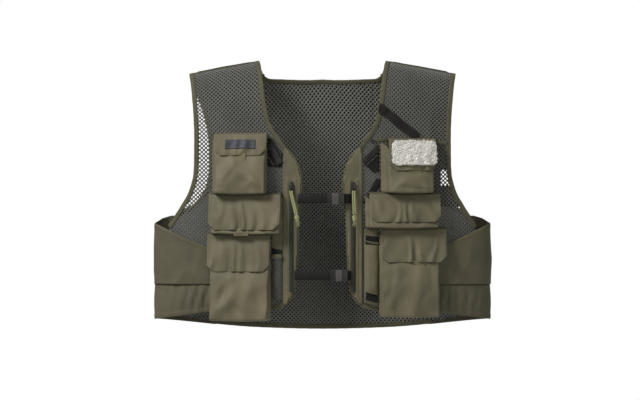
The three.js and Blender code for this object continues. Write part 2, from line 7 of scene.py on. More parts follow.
import bmesh
import bpy
import numpy as np
from bpy.props import FloatProperty, FloatVectorProperty, IntProperty, PointerProperty
from mathutils import Matrix, Vector, noise
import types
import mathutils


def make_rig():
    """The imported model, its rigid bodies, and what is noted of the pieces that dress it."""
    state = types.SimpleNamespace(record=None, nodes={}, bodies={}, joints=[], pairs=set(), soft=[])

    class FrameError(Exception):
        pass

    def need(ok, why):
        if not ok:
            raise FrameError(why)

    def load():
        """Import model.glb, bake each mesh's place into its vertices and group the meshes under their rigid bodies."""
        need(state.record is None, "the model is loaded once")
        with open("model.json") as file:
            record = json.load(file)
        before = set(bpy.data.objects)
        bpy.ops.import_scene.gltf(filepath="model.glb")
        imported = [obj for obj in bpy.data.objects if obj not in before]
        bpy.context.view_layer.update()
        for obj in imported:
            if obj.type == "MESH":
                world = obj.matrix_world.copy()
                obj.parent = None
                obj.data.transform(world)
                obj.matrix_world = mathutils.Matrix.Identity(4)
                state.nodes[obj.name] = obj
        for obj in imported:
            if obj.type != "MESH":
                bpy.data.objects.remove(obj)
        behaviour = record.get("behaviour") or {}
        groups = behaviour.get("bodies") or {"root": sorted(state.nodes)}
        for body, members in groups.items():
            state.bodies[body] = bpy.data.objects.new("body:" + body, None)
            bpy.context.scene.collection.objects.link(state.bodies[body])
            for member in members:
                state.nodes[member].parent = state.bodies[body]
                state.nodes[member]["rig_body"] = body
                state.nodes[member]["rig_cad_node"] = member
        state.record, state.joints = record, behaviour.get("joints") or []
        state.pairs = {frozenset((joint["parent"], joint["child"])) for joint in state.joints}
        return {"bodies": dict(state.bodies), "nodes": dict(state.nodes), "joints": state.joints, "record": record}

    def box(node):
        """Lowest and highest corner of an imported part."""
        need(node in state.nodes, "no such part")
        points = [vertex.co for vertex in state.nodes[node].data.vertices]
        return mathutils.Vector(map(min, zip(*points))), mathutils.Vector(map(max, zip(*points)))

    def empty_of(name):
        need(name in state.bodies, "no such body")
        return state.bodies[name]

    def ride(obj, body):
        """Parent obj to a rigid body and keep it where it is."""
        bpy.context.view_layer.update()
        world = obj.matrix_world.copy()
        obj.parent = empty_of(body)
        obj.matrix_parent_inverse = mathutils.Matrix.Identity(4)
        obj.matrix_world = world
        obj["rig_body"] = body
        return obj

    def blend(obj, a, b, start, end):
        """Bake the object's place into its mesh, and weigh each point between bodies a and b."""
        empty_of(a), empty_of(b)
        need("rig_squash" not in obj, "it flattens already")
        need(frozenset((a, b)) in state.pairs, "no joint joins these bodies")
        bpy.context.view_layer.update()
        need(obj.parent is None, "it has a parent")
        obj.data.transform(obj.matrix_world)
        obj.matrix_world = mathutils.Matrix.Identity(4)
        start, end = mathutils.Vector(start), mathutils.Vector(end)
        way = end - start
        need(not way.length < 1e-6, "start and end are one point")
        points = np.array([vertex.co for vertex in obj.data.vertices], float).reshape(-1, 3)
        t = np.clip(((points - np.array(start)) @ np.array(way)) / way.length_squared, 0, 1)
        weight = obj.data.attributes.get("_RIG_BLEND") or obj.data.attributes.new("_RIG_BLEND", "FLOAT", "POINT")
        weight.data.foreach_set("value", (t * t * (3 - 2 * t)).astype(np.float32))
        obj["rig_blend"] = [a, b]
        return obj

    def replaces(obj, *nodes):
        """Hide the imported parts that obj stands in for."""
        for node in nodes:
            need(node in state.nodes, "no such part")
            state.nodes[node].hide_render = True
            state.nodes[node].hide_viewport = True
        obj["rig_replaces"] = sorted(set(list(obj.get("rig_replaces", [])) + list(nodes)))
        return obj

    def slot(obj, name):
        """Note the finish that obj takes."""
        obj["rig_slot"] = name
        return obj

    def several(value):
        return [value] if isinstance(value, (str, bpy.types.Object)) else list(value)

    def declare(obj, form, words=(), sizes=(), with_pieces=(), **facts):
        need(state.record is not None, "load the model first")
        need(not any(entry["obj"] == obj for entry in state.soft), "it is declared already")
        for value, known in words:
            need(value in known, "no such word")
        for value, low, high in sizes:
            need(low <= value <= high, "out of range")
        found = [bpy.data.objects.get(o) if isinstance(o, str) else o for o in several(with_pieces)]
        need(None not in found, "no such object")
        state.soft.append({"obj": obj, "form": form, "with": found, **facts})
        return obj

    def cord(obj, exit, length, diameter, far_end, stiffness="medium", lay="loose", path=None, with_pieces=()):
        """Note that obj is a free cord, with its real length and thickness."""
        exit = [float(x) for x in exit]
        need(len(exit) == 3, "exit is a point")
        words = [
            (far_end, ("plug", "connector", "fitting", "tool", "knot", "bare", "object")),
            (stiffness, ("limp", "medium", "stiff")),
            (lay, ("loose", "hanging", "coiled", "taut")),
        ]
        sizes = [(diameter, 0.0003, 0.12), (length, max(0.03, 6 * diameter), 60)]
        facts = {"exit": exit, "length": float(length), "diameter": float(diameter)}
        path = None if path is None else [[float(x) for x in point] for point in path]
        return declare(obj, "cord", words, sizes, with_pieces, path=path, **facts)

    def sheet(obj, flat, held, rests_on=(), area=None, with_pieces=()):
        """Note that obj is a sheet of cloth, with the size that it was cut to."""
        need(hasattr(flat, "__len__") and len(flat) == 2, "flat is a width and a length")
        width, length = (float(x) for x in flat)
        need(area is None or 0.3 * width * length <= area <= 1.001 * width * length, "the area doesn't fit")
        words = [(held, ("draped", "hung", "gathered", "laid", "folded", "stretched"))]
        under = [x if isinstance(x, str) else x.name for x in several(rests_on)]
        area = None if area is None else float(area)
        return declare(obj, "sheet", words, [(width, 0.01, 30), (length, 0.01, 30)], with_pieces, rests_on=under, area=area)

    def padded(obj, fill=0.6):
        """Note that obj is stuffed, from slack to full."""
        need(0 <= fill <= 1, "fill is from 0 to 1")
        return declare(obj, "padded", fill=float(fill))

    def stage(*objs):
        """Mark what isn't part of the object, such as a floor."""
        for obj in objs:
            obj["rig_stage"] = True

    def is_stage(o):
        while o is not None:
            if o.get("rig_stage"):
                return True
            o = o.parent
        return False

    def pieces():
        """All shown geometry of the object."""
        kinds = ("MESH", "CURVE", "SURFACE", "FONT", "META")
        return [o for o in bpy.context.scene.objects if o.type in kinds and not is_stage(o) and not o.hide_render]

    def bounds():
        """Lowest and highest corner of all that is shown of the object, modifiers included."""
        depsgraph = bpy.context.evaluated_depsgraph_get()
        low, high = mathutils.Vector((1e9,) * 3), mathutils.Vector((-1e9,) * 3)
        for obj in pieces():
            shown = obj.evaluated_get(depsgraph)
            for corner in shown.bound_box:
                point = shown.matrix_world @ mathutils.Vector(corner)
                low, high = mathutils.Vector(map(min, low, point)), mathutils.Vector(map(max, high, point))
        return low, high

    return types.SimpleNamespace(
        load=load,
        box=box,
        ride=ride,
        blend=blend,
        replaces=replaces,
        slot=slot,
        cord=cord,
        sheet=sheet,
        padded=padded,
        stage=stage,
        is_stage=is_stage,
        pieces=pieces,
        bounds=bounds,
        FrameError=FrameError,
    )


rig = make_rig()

bl_info = {
    "name": "Fishing Vest",
    "version": (1, 0, 0),
    "blender": (4, 5, 0),
    "location": "View3D > Sidebar > Vest",
    "description": "Knotted mesh, pockets, flaps, straps and trim of a fishing vest",
    "category": "Add Mesh",
}

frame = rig.load()
CAD_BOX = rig.bounds()

MM = 0.001
LEFT, RIGHT = 1, -1  # the wearer's left is +X
SIDES = {"left": LEFT, "right": RIGHT}
LEVELS = ("top", "middle", "lower")

# ---------------------------------------------------------------- the vest's own surface

FLAT_X = 240 * MM  # the fronts and the back run flat out to here
FOLD_X = 318 * MM  # the side folds
FRONT_Y = 77.8 * MM  # the front's depth at the middle
FRONT_SLOPE = 0.135  # how fast the fronts fall back towards the sides
BACK_Y = 60 * MM  # the back's depth at the middle
BACK_CURVE = 15 * MM  # how much less it is at FLAT_X
SIDE_ROUND = 2.6  # exponent of the side's superellipse
SPRING_Z = 395 * MM  # the shoulders start to bend over here
RIDGE_IN = (121 * MM, 510 * MM)  # inner and outer ends of the shoulder's top
RIDGE_OUT = (255.5 * MM, 485 * MM)
DROP = 100 * MM  # height that one turn stands for below the spring line
FIRST = 2.35 * MM  # where the layer over the mesh starts
SECOND = 4.7 * MM  # where the layer over that starts
TOP_DEPTH = 9 * MM  # depth of every pocket at its top
STRAP_Y = 81.7 * MM  # depth of the middle of the straps
POCKET_FOOT = 259 * MM  # height of the foot of the left chest pocket

_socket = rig.box("chest_buckle_socket")
HOME = np.array((
    0, (_socket[0].y + _socket[1].y) / 2 + STRAP_Y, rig.box("pocket_top_left")[0].z - POCKET_FOOT))


def share_of_depth(x):
    past = np.clip((np.abs(x) - FLAT_X) / (FOLD_X - FLAT_X), 0, 1)
    return (1 - past**SIDE_ROUND) ** (1 / SIDE_ROUND)


def ridge_z(x):
    slope = (RIDGE_OUT[1] - RIDGE_IN[1]) / (RIDGE_OUT[0] - RIDGE_IN[0])
    return RIDGE_IN[1] + (np.abs(x) - RIDGE_IN[0]) * slope


def bare_shell(x, turn):
    """The surface at x and turn: -1 is the front's spring line, 0 the shoulder's ridge, 1 the back's."""
    share = share_of_depth(x)
    front = (FRONT_Y - FRONT_SLOPE * np.abs(x)) * share
    back = (BACK_Y - BACK_CURVE * (x / FLAT_X) ** 2) * share
    bend = np.clip(np.abs(turn), 0, 1) * math.pi / 2
    depth = np.where(turn < 0, -front, back)
    z = SPRING_Z + (ridge_z(x) - SPRING_Z) * np.cos(bend) - np.clip(np.abs(turn) - 1, 0, None) * DROP
    return np.stack([x, depth * np.sin(bend), z], axis=-1)


def shell_normal(x, turn):
    step = 1e-4
    across = bare_shell(x + step, turn) - bare_shell(x - step, turn)
    along = bare_shell(x, turn + step) - bare_shell(x, turn - step)
    normal = np.cross(across, along)
    return normal / np.linalg.norm(normal, axis=-1, keepdims=True)


def on_shell(x, turn, out):
    """Points a distance out from the surface, in the row frame."""
    return bare_shell(x, turn) + shell_normal(x, turn) * np.asarray(out)[..., None] + HOME


def turn_at(x, z, sign):
    """The turn of a height, on the front (-1) or the back (1)."""
    share = np.clip((z - SPRING_Z) / (ridge_z(x) - SPRING_Z), 0, 1)
    return sign * np.where(z <= SPRING_Z, 1 + (SPRING_Z - z) / DROP, np.arccos(share) / (math.pi / 2))


def turn_of_length(length, sign):
    """The turn at a distance below the ridge, measured along the cloth at the middle of a shoulder."""
    turns = np.linspace(0, 6, 1200)
    middle = np.full_like(turns, (RIDGE_IN[0] + RIDGE_OUT[0]) / 2)
    line = bare_shell(middle, sign * turns)
    run = np.concatenate([[0], np.cumsum(np.linalg.norm(np.diff(line, axis=0), axis=1))])
    return sign * np.interp(length, run, turns)


TILT = math.atan(FRONT_SLOPE)


def on_front(side, across, out, height):
    """Points over the flat of one front; across runs outwards from the middle of the vest."""
    across, out, height = np.broadcast_arrays(across, out, height)
    x = side * (across * math.cos(TILT) + out * math.sin(TILT))
    y = across * math.sin(TILT) - out * math.cos(TILT) - FRONT_Y
    return np.stack([x, y, height], axis=-1) + HOME


def spans(node, side):
    """A node's extent over its front: (across, out, height), each a (least, most) pair."""
    points = np.array([v.co for v in frame["nodes"][node].data.vertices]) - HOME
    across_x, y = side * points[:, 0], points[:, 1] + FRONT_Y
    across = across_x * math.cos(TILT) + y * math.sin(TILT)
    out = across_x * math.sin(TILT) - y * math.cos(TILT)
    return [(values.min(), values.max()) for values in (across, out, points[:, 2])]


def wrap_plan(degrees):
    """The side seen from above: -90 is the front, 0 the fold, 90 the back; past 90 it runs on flat."""
    angle = np.radians(np.clip(np.abs(degrees), 0, 90))
    run = np.clip(np.abs(degrees) - 90, 0, None) * MM
    x = FLAT_X + (FOLD_X - FLAT_X) * np.cos(angle) ** (2 / SIDE_ROUND) - run
    depth = np.where(degrees < 0, FRONT_Y - FRONT_SLOPE * x, BACK_Y - BACK_CURVE * (x / FLAT_X) ** 2)
    return np.stack([x, np.sign(degrees) * depth * np.sin(angle) ** (2 / SIDE_ROUND)], axis=-1)


def on_wrap(side, degrees, out, height):
    along = wrap_plan(degrees + 0.05) - wrap_plan(degrees - 0.05)
    along /= np.linalg.norm(along, axis=-1, keepdims=True)
    plan = wrap_plan(degrees) + np.stack([along[:, 1], -along[:, 0]], axis=-1) * np.asarray(out)[:, None]
    return np.stack([side * plan[:, 0], plan[:, 1], np.broadcast_to(height, degrees.shape)], axis=-1) + HOME


# ---------------------------------------------------------------- edges of the left side, in millimetres

FRONT_HEM = ((204, 32.5, -1), (150, 34, -1), (92, 36, -1))
FRONT_EDGE = (
    (68, 45, -1), (56, 63, -1), (50, 84, -1), (46, 128, -1), (43, 215, -1), (39, 255, -1),
    (38, 285, -1), (46, 316, -1), (68, 346, -1), (89, 374, -1), (103, 407, -1), (111, 455, -1),
)
NECK = ((121, 510, -1), (117, 494, 1), (108, 481.5, 1), (88, 478, 1), (0, 478, 1))
ARMHOLE_FRONT = (
    (295, 196, -1), (279, 220, -1), (266, 241, -1), (256, 259, -1), (248, 285, -1),
    (245.5, 307, -1), (245, 337, -1), (245, 376, -1), (246.5, 411, -1), (250, 450, -1),
)
ARMHOLE_BACK = (
    (255.5, 485, -1), (247, 457, 1), (233, 420, 1), (223, 380, 1), (219, 320, 1),
    (226, 270, 1), (249, 238, 1), (278, 224, 1),
)
BACK_HEM = ((213, 6, 1), (129, -1, 1), (0, -4.5, 1))


def other_side(points):
    return tuple((-x, z, sign) for x, z, sign in reversed(points))


def both_sides(points):
    return (*points, *other_side(points[:-1]))


COLLAR = both_sides(FRONT_HEM + FRONT_EDGE + NECK)
ARMHOLE = ARMHOLE_FRONT + ARMHOLE_BACK


def flat(points):
    return [(x * MM, z * MM) for x, z, _ in points]


def smooth_line(points, spacing):
    """A Catmull-Rom curve through the points, as points that lie evenly spaced along it."""
    p = np.array(points, float)
    p = np.concatenate([[2 * p[0] - p[1]], p, [2 * p[-1] - p[-2]]])
    t = np.linspace(0, 1, 24, endpoint=False)[:, None]
    parts = [
        0.5 * (2 * b + (c - a) * t + (2 * a - 5 * b + 4 * c - d) * t**2 + (3 * b - a - 3 * c + d) * t**3)
        for a, b, c, d in zip(p, p[1:], p[2:], p[3:])
    ]
    line = np.concatenate([*parts, p[-2:-1]])
    run = np.concatenate([[0], np.cumsum(np.linalg.norm(np.diff(line, axis=0), axis=1))])
    stops = np.linspace(0, run[-1], max(2, round(run[-1] / spacing) + 1))
    return np.stack([np.interp(stops, run, column) for column in line.T], axis=-1)


def straight_line(corners, spacing):
    """Straight legs between corners, as points that lie evenly spaced along each."""
    legs = [smooth_line([a, b], spacing) for a, b in zip(corners, corners[1:])]
    return np.concatenate([*(leg[:-1] for leg in legs[:-1]), legs[-1]])


def unit(vectors):
    return vectors / np.linalg.norm(vectors, axis=-1, keepdims=True)


class Track:
    """A line on a surface that tapes, stitches and ribs follow: points, and the surface's normals there."""

    def __init__(self, points, normals):
        self.points, self.normals = points, unit(normals)
        self.along = unit(np.gradient(points, axis=0))
        self.across = unit(np.cross(self.along, self.normals))
        steps = np.linalg.norm(np.diff(points, axis=0), axis=1)
        self.run = np.concatenate([[0], np.cumsum(steps)])

    @property
    def length(self):
        return self.run[-1]

    def at(self, distance, rows):
        return np.stack([np.interp(distance, self.run, column) for column in rows.T], axis=-1)

    def place(self, distance, across, out):
        """Points beside and above the line."""
        side, up = self.at(distance, self.across), self.at(distance, self.normals)
        return self.at(distance, self.points) + side * across[:, None] + up * out[:, None]

    def shifted(self, across, out):
        """The same line, moved sideways and off the surface."""
        n = len(self.run)
        return Track(self.place(self.run, np.full(n, across), np.full(n, out)), self.normals)


def shell_track(edge, spacing=3 * MM):
    """A track along an edge of (x, z, sign) points in millimetres."""
    knots = []
    for x, z, sign in edge:
        turn = turn_at(np.float64(x * MM), np.float64(z * MM), sign)
        knots.append((x * MM, float(turn) * DROP))
    line = smooth_line(knots, spacing)
    x, turn = line[:, 0], line[:, 1] / DROP
    return Track(on_shell(x, turn, np.zeros(len(x))), shell_normal(x, turn))


def front_track(side, corners, out, spacing=3 * MM, smooth=False):
    """A track over one front through (across, height) corners in metres."""
    line = (smooth_line if smooth else straight_line)(corners, spacing)
    points = on_front(side, line[:, 0], out, line[:, 1])
    return Track(points, np.tile((side * math.sin(TILT), -math.cos(TILT), 0), (len(points), 1)))


# ---------------------------------------------------------------- meshes


def pattern(x_span, y_span, cell, cuts=(), rows_cell=None):
    """A flat cloth pattern: a grid between two spans, trimmed by cuts of (point, outward direction)."""
    bm = bmesh.new()
    width, height = x_span[1] - x_span[0], y_span[1] - y_span[0]
    middle = Vector(((x_span[0] + x_span[1]) / 2, (y_span[0] + y_span[1]) / 2, 0))
    columns = max(1, round(width / cell))
    rows = max(1, round(height / (rows_cell or cell)))
    size = Matrix.Diagonal((width, height, 1, 1))
    bmesh.ops.create_grid(
        bm, x_segments=columns, y_segments=rows, size=0.5, matrix=Matrix.Translation(middle) @ size)
    for (x, y), outward in cuts:
        bmesh.ops.bisect_plane(
            bm, geom=bm.verts[:] + bm.edges[:] + bm.faces[:], dist=1e-6,
            plane_co=(x, y, 0), plane_no=(*outward, 0), clear_outer=True)
    return bm


def keep_uv(bm, flatten=lambda co: co.xy):
    """Writes the flat pattern's own metres as its UV map."""
    uv = bm.loops.layers.uv.new("UVMap")
    for face in bm.faces:
        for loop in face.loops:
            loop[uv].uv = flatten(loop.vert.co)


def moved(bm, place):
    """Puts every corner of a pattern where place(x, y, z) says."""
    flat_points = np.array([v.co for v in bm.verts])
    for vert, point in zip(bm.verts, place(*flat_points.T)):
        vert.co = point


def turn_outward(bm, outward):
    """Turns an open sheet's faces so that most of them look outward."""
    bm.normal_update()
    if sum(face.normal.dot(outward) * face.calc_area() for face in bm.faces) < 0:
        bmesh.ops.reverse_faces(bm, faces=bm.faces[:])


def thicken(bm, wall):
    """Gives an open sheet its thickness, away from the side that it faces."""
    bm.normal_update()
    bmesh.ops.solidify(bm, geom=bm.faces[:], thickness=wall)


def object_from(bm, name, looks, smooth=True):
    mesh = bpy.data.meshes.new(name)
    bm.to_mesh(mesh)
    bm.free()
    for look in looks if isinstance(looks, (list, tuple)) else [looks]:
        mesh.materials.append(look)
    if smooth:
        mesh.shade_smooth()
    obj = bpy.data.objects.new(name, mesh)
    bpy.context.scene.collection.objects.link(obj)
    return obj


def dress(obj, body, slot, *nodes):
    """The piece rides on a body, takes a finish of the record and stands for CAD nodes."""
    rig.ride(obj, body)
    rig.slot(obj, slot)
    if nodes:
        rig.replaces(obj, *nodes)
    return obj


def rounded_bar(width, thick, steps=5):
    """The section of a tape: a closed outline of (across, out) points with round ends."""
    r = thick / 2
    ends = np.radians(np.linspace(-90, 90, steps))
    right = [(width / 2 - r + r * math.cos(a), r * math.sin(a)) for a in ends]
    left = [(-width / 2 + r - r * math.cos(a), -r * math.sin(a)) for a in ends]
    return np.array([*right, *left])


def add_swept(bm, track, section, cell=3 * MM, material=0, wave=None):
    """Adds a closed section carried along a track, with both ends filled."""
    loop = np.concatenate([section, section[:1]])
    around = np.concatenate([[0], np.cumsum(np.linalg.norm(np.diff(loop, axis=0), axis=1))])
    piece = bmesh.new()
    rows = max(2, round(track.length / cell))
    bmesh.ops.create_grid(
        piece, x_segments=len(section), y_segments=rows, size=0.5,
        matrix=Matrix.Translation((0.5, 0.5, 0)))
    for vert in piece.verts:
        vert.co.x = around[min(round(vert.co.x * len(section)), len(section))]
        vert.co.y *= track.length
    keep_uv(piece)

    def place(x, y, _z):
        across, out = np.interp(x, around, loop[:, 0]), np.interp(x, around, loop[:, 1])
        if wave is not None:
            across, out = wave(y, across, out)
        return track.place(y, across, out)

    moved(piece, place)
    bmesh.ops.remove_doubles(piece, verts=piece.verts[:], dist=1e-6)
    bmesh.ops.holes_fill(piece, edges=[e for e in piece.edges if e.is_boundary], sides=0)
    bmesh.ops.recalc_face_normals(piece, faces=piece.faces[:])
    for face in piece.faces:
        face.material_index = material
    add_bmesh(bm, piece)


def faces_of(made):
    """The faces of what a bmesh operator made."""
    return {face for vert in made["verts"] for face in vert.link_faces}


def edges_of(made):
    return list({edge for vert in made["verts"] for edge in vert.link_edges})


def add_bmesh(bm, piece):
    mesh = bpy.data.meshes.new("part")
    piece.to_mesh(mesh)
    piece.free()
    bm.from_mesh(mesh)
    bpy.data.meshes.remove(mesh)


STITCH = (2.3 * MM, 0.55 * MM, 0.4 * MM)  # length, width and height of one stitch


def add_stitches(bm, track, spacing=3.4 * MM, material=1, size=STITCH):
    """Adds a row of single stitches that lie along a track."""
    for distance in np.arange(spacing / 2, track.length, spacing):
        where = np.array([distance])
        point, up = track.at(where, track.points)[0], track.at(where, track.normals)[0]
        along = track.at(where, track.along)[0]
        across = np.cross(up, along)
        turn = Matrix((along, across, up)).transposed().to_4x4()
        place = Matrix.Translation(Vector(point)) @ turn @ Matrix.Diagonal((*size, 1))
        made = bmesh.ops.create_cube(bm, size=1, matrix=place)
        for face in faces_of(made):
            face.material_index = material


def ridged(points, scale, seed):
    """Sharp soft-sided folds: 1 on a fold's crest and less away from it."""
    shift = Vector((seed, seed * 1.7, -seed))
    return np.array([1 - 2 * abs(noise.noise(Vector(p) / scale + shift)) for p in points])


def lumps(points, scale, seed):
    shift = Vector((seed * 2.3, -seed, seed))
    return np.array([noise.noise(Vector(p) / scale + shift) for p in points])


def crease(a, c, start, end, width):
    """1 on a straight crease between two places, fading to 0 beside it and at its ends."""
    start, end = np.array(start), np.array(end)
    run = end - start
    share = ((a - start[0]) * run[0] + (c - start[1]) * run[1]) / (run @ run)
    near = np.clip(share, 0, 1)
    off = np.hypot(a - start[0] - near * run[0], c - start[1] - near * run[1])
    return np.exp(-((off / width) ** 2)) * np.sin(math.pi * np.clip(near, 0.08, 0.92))


# ---------------------------------------------------------------- materials


class Wire:
    """A node's output. Arithmetic on it adds Math nodes."""

    def __init__(self, look, socket):
        self.look, self.socket = look, socket

    def maths(self, operation, *rest):
        values = dict(enumerate((self, *rest)))
        return self.look.node("ShaderNodeMath", {"operation": operation}, values)

    def __add__(self, other):
        return self.maths("ADD", other)

    __radd__ = __add__

    def __mul__(self, other):
        return self.maths("MULTIPLY", other)

    __rmul__ = __mul__

    def __sub__(self, other):
        return self.maths("SUBTRACT", other)

    def __rsub__(self, other):
        return (self * -1) + other

    def __pow__(self, other):
        return self.maths("POWER", other)

    def sine(self):
        return self.maths("SINE")

    def between(self, low, high):
        """0 below low, 1 above high and smooth between them."""
        return self.look.node(
            "ShaderNodeMapRange", {"interpolation_type": "SMOOTHSTEP"},
            {"Value": self, "From Min": low, "From Max": high})


class Look:
    """A material and the nodes that make it."""

    def __init__(self, name, roughness, sheen=0.0, metallic=0.0, specular=0.5):
        self.material = bpy.data.materials.new(name)
        self.material.use_nodes = True
        self.tree = self.material.node_tree
        self.shader = self.tree.nodes["Principled BSDF"]
        self.set(Roughness=roughness, Metallic=metallic)
        self.shader.inputs["Sheen Weight"].default_value = sheen
        self.shader.inputs["Sheen Roughness"].default_value = 0.5
        self.shader.inputs["Specular IOR Level"].default_value = specular

    def node(self, kind, settings=None, values=None, output=0):
        node = self.tree.nodes.new(kind)
        for key, value in (settings or {}).items():
            setattr(node, key, value)
        for key, value in (values or {}).items():
            self.put(node.inputs[key], value)
        return Wire(self, node.outputs[output])

    def put(self, socket, value):
        if isinstance(value, Wire):
            self.tree.links.new(value.socket, socket)
        elif socket.type == "RGBA" and len(value) == 3:
            socket.default_value = (*value, 1)
        else:
            socket.default_value = value

    def set(self, **values):
        for key, value in values.items():
            self.put(self.shader.inputs[key.replace("_", " ")], value)

    def place(self, kind="Object"):
        return self.node("ShaderNodeTexCoord", output=kind)

    def part(self, vector, axis):
        return self.node("ShaderNodeSeparateXYZ", values={0: vector}, output=axis)

    def noise(self, vector, size, detail=3.0, stretch=(1, 1, 1)):
        """Noise of one size in metres, about 0 to 1."""
        scaled = self.node(
            "ShaderNodeMapping", values={"Vector": vector, "Scale": tuple(s / size for s in stretch)})
        return self.node("ShaderNodeTexNoise", values={"Vector": scaled, "Scale": 1.0, "Detail": detail})

    def mix(self, factor, a, b, blend="MIX"):
        """Two colours mixed by a factor."""
        node = self.tree.nodes.new("ShaderNodeMix")
        node.data_type, node.blend_type = "RGBA", blend
        self.put(node.inputs["Factor"], factor)
        self.put(node.inputs[6], a)
        self.put(node.inputs[7], b)
        return Wire(self, node.outputs[2])

    def bump(self, height, distance, strength=1.0, below=None):
        values = {"Height": height, "Distance": distance, "Strength": strength}
        if below is not None:
            values["Normal"] = below
        return self.node("ShaderNodeBump", values=values)


def shade(colour, factor):
    return tuple(channel * factor for channel in colour)


def shell_cloth(name, colour):
    """Plain woven nylon with a faint ripstop, slightly faded and handled."""
    look = Look(name, 0.58, sheen=0.04, specular=0.4)
    where = look.place()
    weave = look.place("UV")
    across, along = look.part(weave, 0), look.part(weave, 1)
    thread = (across * 6200).sine() * (along * 6200).sine()
    rip = (across * 1050).sine().between(0.93, 1.0) + (along * 1050).sine().between(0.93, 1.0)
    faded = look.noise(where, 60 * MM, 4.0)
    handled = look.noise(where, 9 * MM, 5.0).between(0.52, 0.8)
    base = look.mix(faded.between(0.3, 0.72), shade(colour, 0.86), shade(colour, 1.14))
    base = look.mix(handled * 0.25, base, shade(colour, 1.35))
    base = look.mix((thread * 0.5 + 0.5) * 0.10, base, shade(colour, 0.6))
    crumple = look.noise(where, 14 * MM, 4.0)
    soft = look.bump(crumple, 1.1 * MM, 0.45)
    look.set(
        Base_Color=base, Roughness=handled * -0.1 + 0.66,
        Normal=look.bump(thread * 0.6 + rip * 0.5, 0.12 * MM, 0.35, soft))
    return look.material


def mesh_yarn(name, colour):
    """Knitted polyester yarn of the mesh."""
    look = Look(name, 0.6, sheen=0.25, specular=0.4)
    where = look.place()
    twist = look.noise(where, 1.1 * MM, 3.0)
    worn = look.noise(where, 45 * MM, 3.0)
    base = look.mix(worn.between(0.3, 0.7), shade(colour, 0.85), shade(colour, 1.12))
    base = look.mix(twist.between(0.35, 0.75), shade(colour, 0.62), base)
    look.set(Base_Color=base, Normal=look.bump(twist, 0.3 * MM, 0.6))
    return look.material


def ribbed_tape(name, colour, pitch, depth, roughness=0.7):
    """Woven tape or webbing whose ribs cross it; the weft shows between them."""
    look = Look(name, roughness, sheen=0.02, specular=0.25)
    uv = look.place("UV")
    across, along = look.part(uv, 0), look.part(uv, 1)
    rib = (along * (2 * math.pi / pitch)).sine()
    weft = (across * (2 * math.pi / (pitch * 0.8))).sine()
    fuzz = look.noise(look.place(), 4 * MM, 5.0)
    worn = look.noise(look.place(), 50 * MM, 3.0)
    base = look.mix(worn.between(0.3, 0.7), shade(colour, 0.88), shade(colour, 1.12))
    base = look.mix((rib * 0.5 + 0.5) * 0.35, base, shade(colour, 1.5))
    base = look.mix(fuzz.between(0.55, 0.8) * 0.3, base, shade(colour, 1.7))
    look.set(
        Base_Color=base, Roughness=fuzz * 0.2 + (roughness - 0.1),
        Normal=look.bump(rib * 0.6 + rib * weft * 0.4, depth, 0.6))
    return look.material


def fleece_pile(name, colour):
    look = Look(name, 0.95, sheen=0.5, specular=0.1)
    where = look.place()
    curl = look.noise(where, 2.2 * MM, 5.0)
    patch = look.noise(where, 12 * MM, 3.0)
    base = look.mix(curl.between(0.3, 0.65), shade(colour, 0.72), colour)
    base = look.mix(patch.between(0.35, 0.7) * 0.35, base, shade(colour, 0.86))
    look.set(Base_Color=base, Normal=look.bump(curl, 0.8 * MM, 0.6))
    return look.material


def moulded_plastic(name, colour):
    """Acetal with a fine spark-eroded grain, rubbed lighter on its high spots."""
    look = Look(name, 0.42, specular=0.5)
    where = look.place()
    grain = look.noise(where, 0.5 * MM, 2.0)
    rubbed = look.noise(where, 7 * MM, 5.0).between(0.5, 0.85)
    look.set(
        Base_Color=look.mix(rubbed * 0.5, colour, shade(colour, 1.7)),
        Roughness=rubbed * 0.18 + 0.36, Normal=look.bump(grain, 0.08 * MM, 0.4))
    return look.material


def coated_metal(name, colour):
    look = Look(name, 0.38, metallic=0.7)
    where = look.place()
    worn = look.noise(where, 3 * MM, 5.0).between(0.55, 0.8)
    look.set(
        Base_Color=look.mix(worn * 0.5, colour, shade(colour, 3.0)),
        Roughness=worn * 0.2 + 0.3, Normal=look.bump(look.noise(where, 0.8 * MM), 0.1 * MM, 0.3))
    return look.material


def braided_cord(name, colour, fleck):
    """A braid: two sets of strands cross each other round the cord, with dark flecks between them."""
    look = Look(name, 0.7, sheen=0.2)
    uv = look.place("UV")
    around = look.part(uv, 0) * (2 * math.pi / (2.5 * MM))
    along = look.part(uv, 1) * (2 * math.pi / (2.6 * MM))
    braid = (around + along).sine() * (around - along).sine()
    lengthwise = look.noise(look.place(), 3 * MM, 3.0)
    base = look.mix((braid * -1).between(0.1, 0.75), colour, fleck)
    base = look.mix(lengthwise.between(0.4, 0.75) * 0.35, base, shade(colour, 1.2))
    look.set(Base_Color=base, Normal=look.bump(braid, 0.35 * MM, 0.7))
    return look.material


def sewing_thread(name, colour):
    look = Look(name, 0.55, sheen=0.1)
    twist = look.noise(look.place(), 0.6 * MM, 2.0)
    look.set(
        Base_Color=look.mix(twist.between(0.3, 0.7), shade(colour, 0.75), shade(colour, 1.2)),
        Normal=look.bump(twist, 0.1 * MM, 0.5))
    return look.material


def woven_label(name, colour):
    look = Look(name, 0.5, sheen=0.2)
    uv = look.place("UV")
    across, along = look.part(uv, 0), look.part(uv, 1)
    weave = (across * 9000).sine() * (along * 9000).sine()
    worn = look.noise(look.place(), 8 * MM, 4.0)
    base = look.mix(worn.between(0.4, 0.7) * 0.5, colour, shade(colour, 1.9))
    look.set(Base_Color=base, Normal=look.bump(weave, 0.12 * MM, 0.4))
    return look.material


def pale_floor(name):
    look = Look(name, 0.8, specular=0.2)
    mottled = look.noise(look.place(), 0.4, 3.0)
    look.set(Base_Color=look.mix(mottled, (0.86, 0.86, 0.85), (0.9, 0.9, 0.89)))
    return look.material


LOOKS = {}


def looks_named(*names):
    return [look_named(name) for name in names]


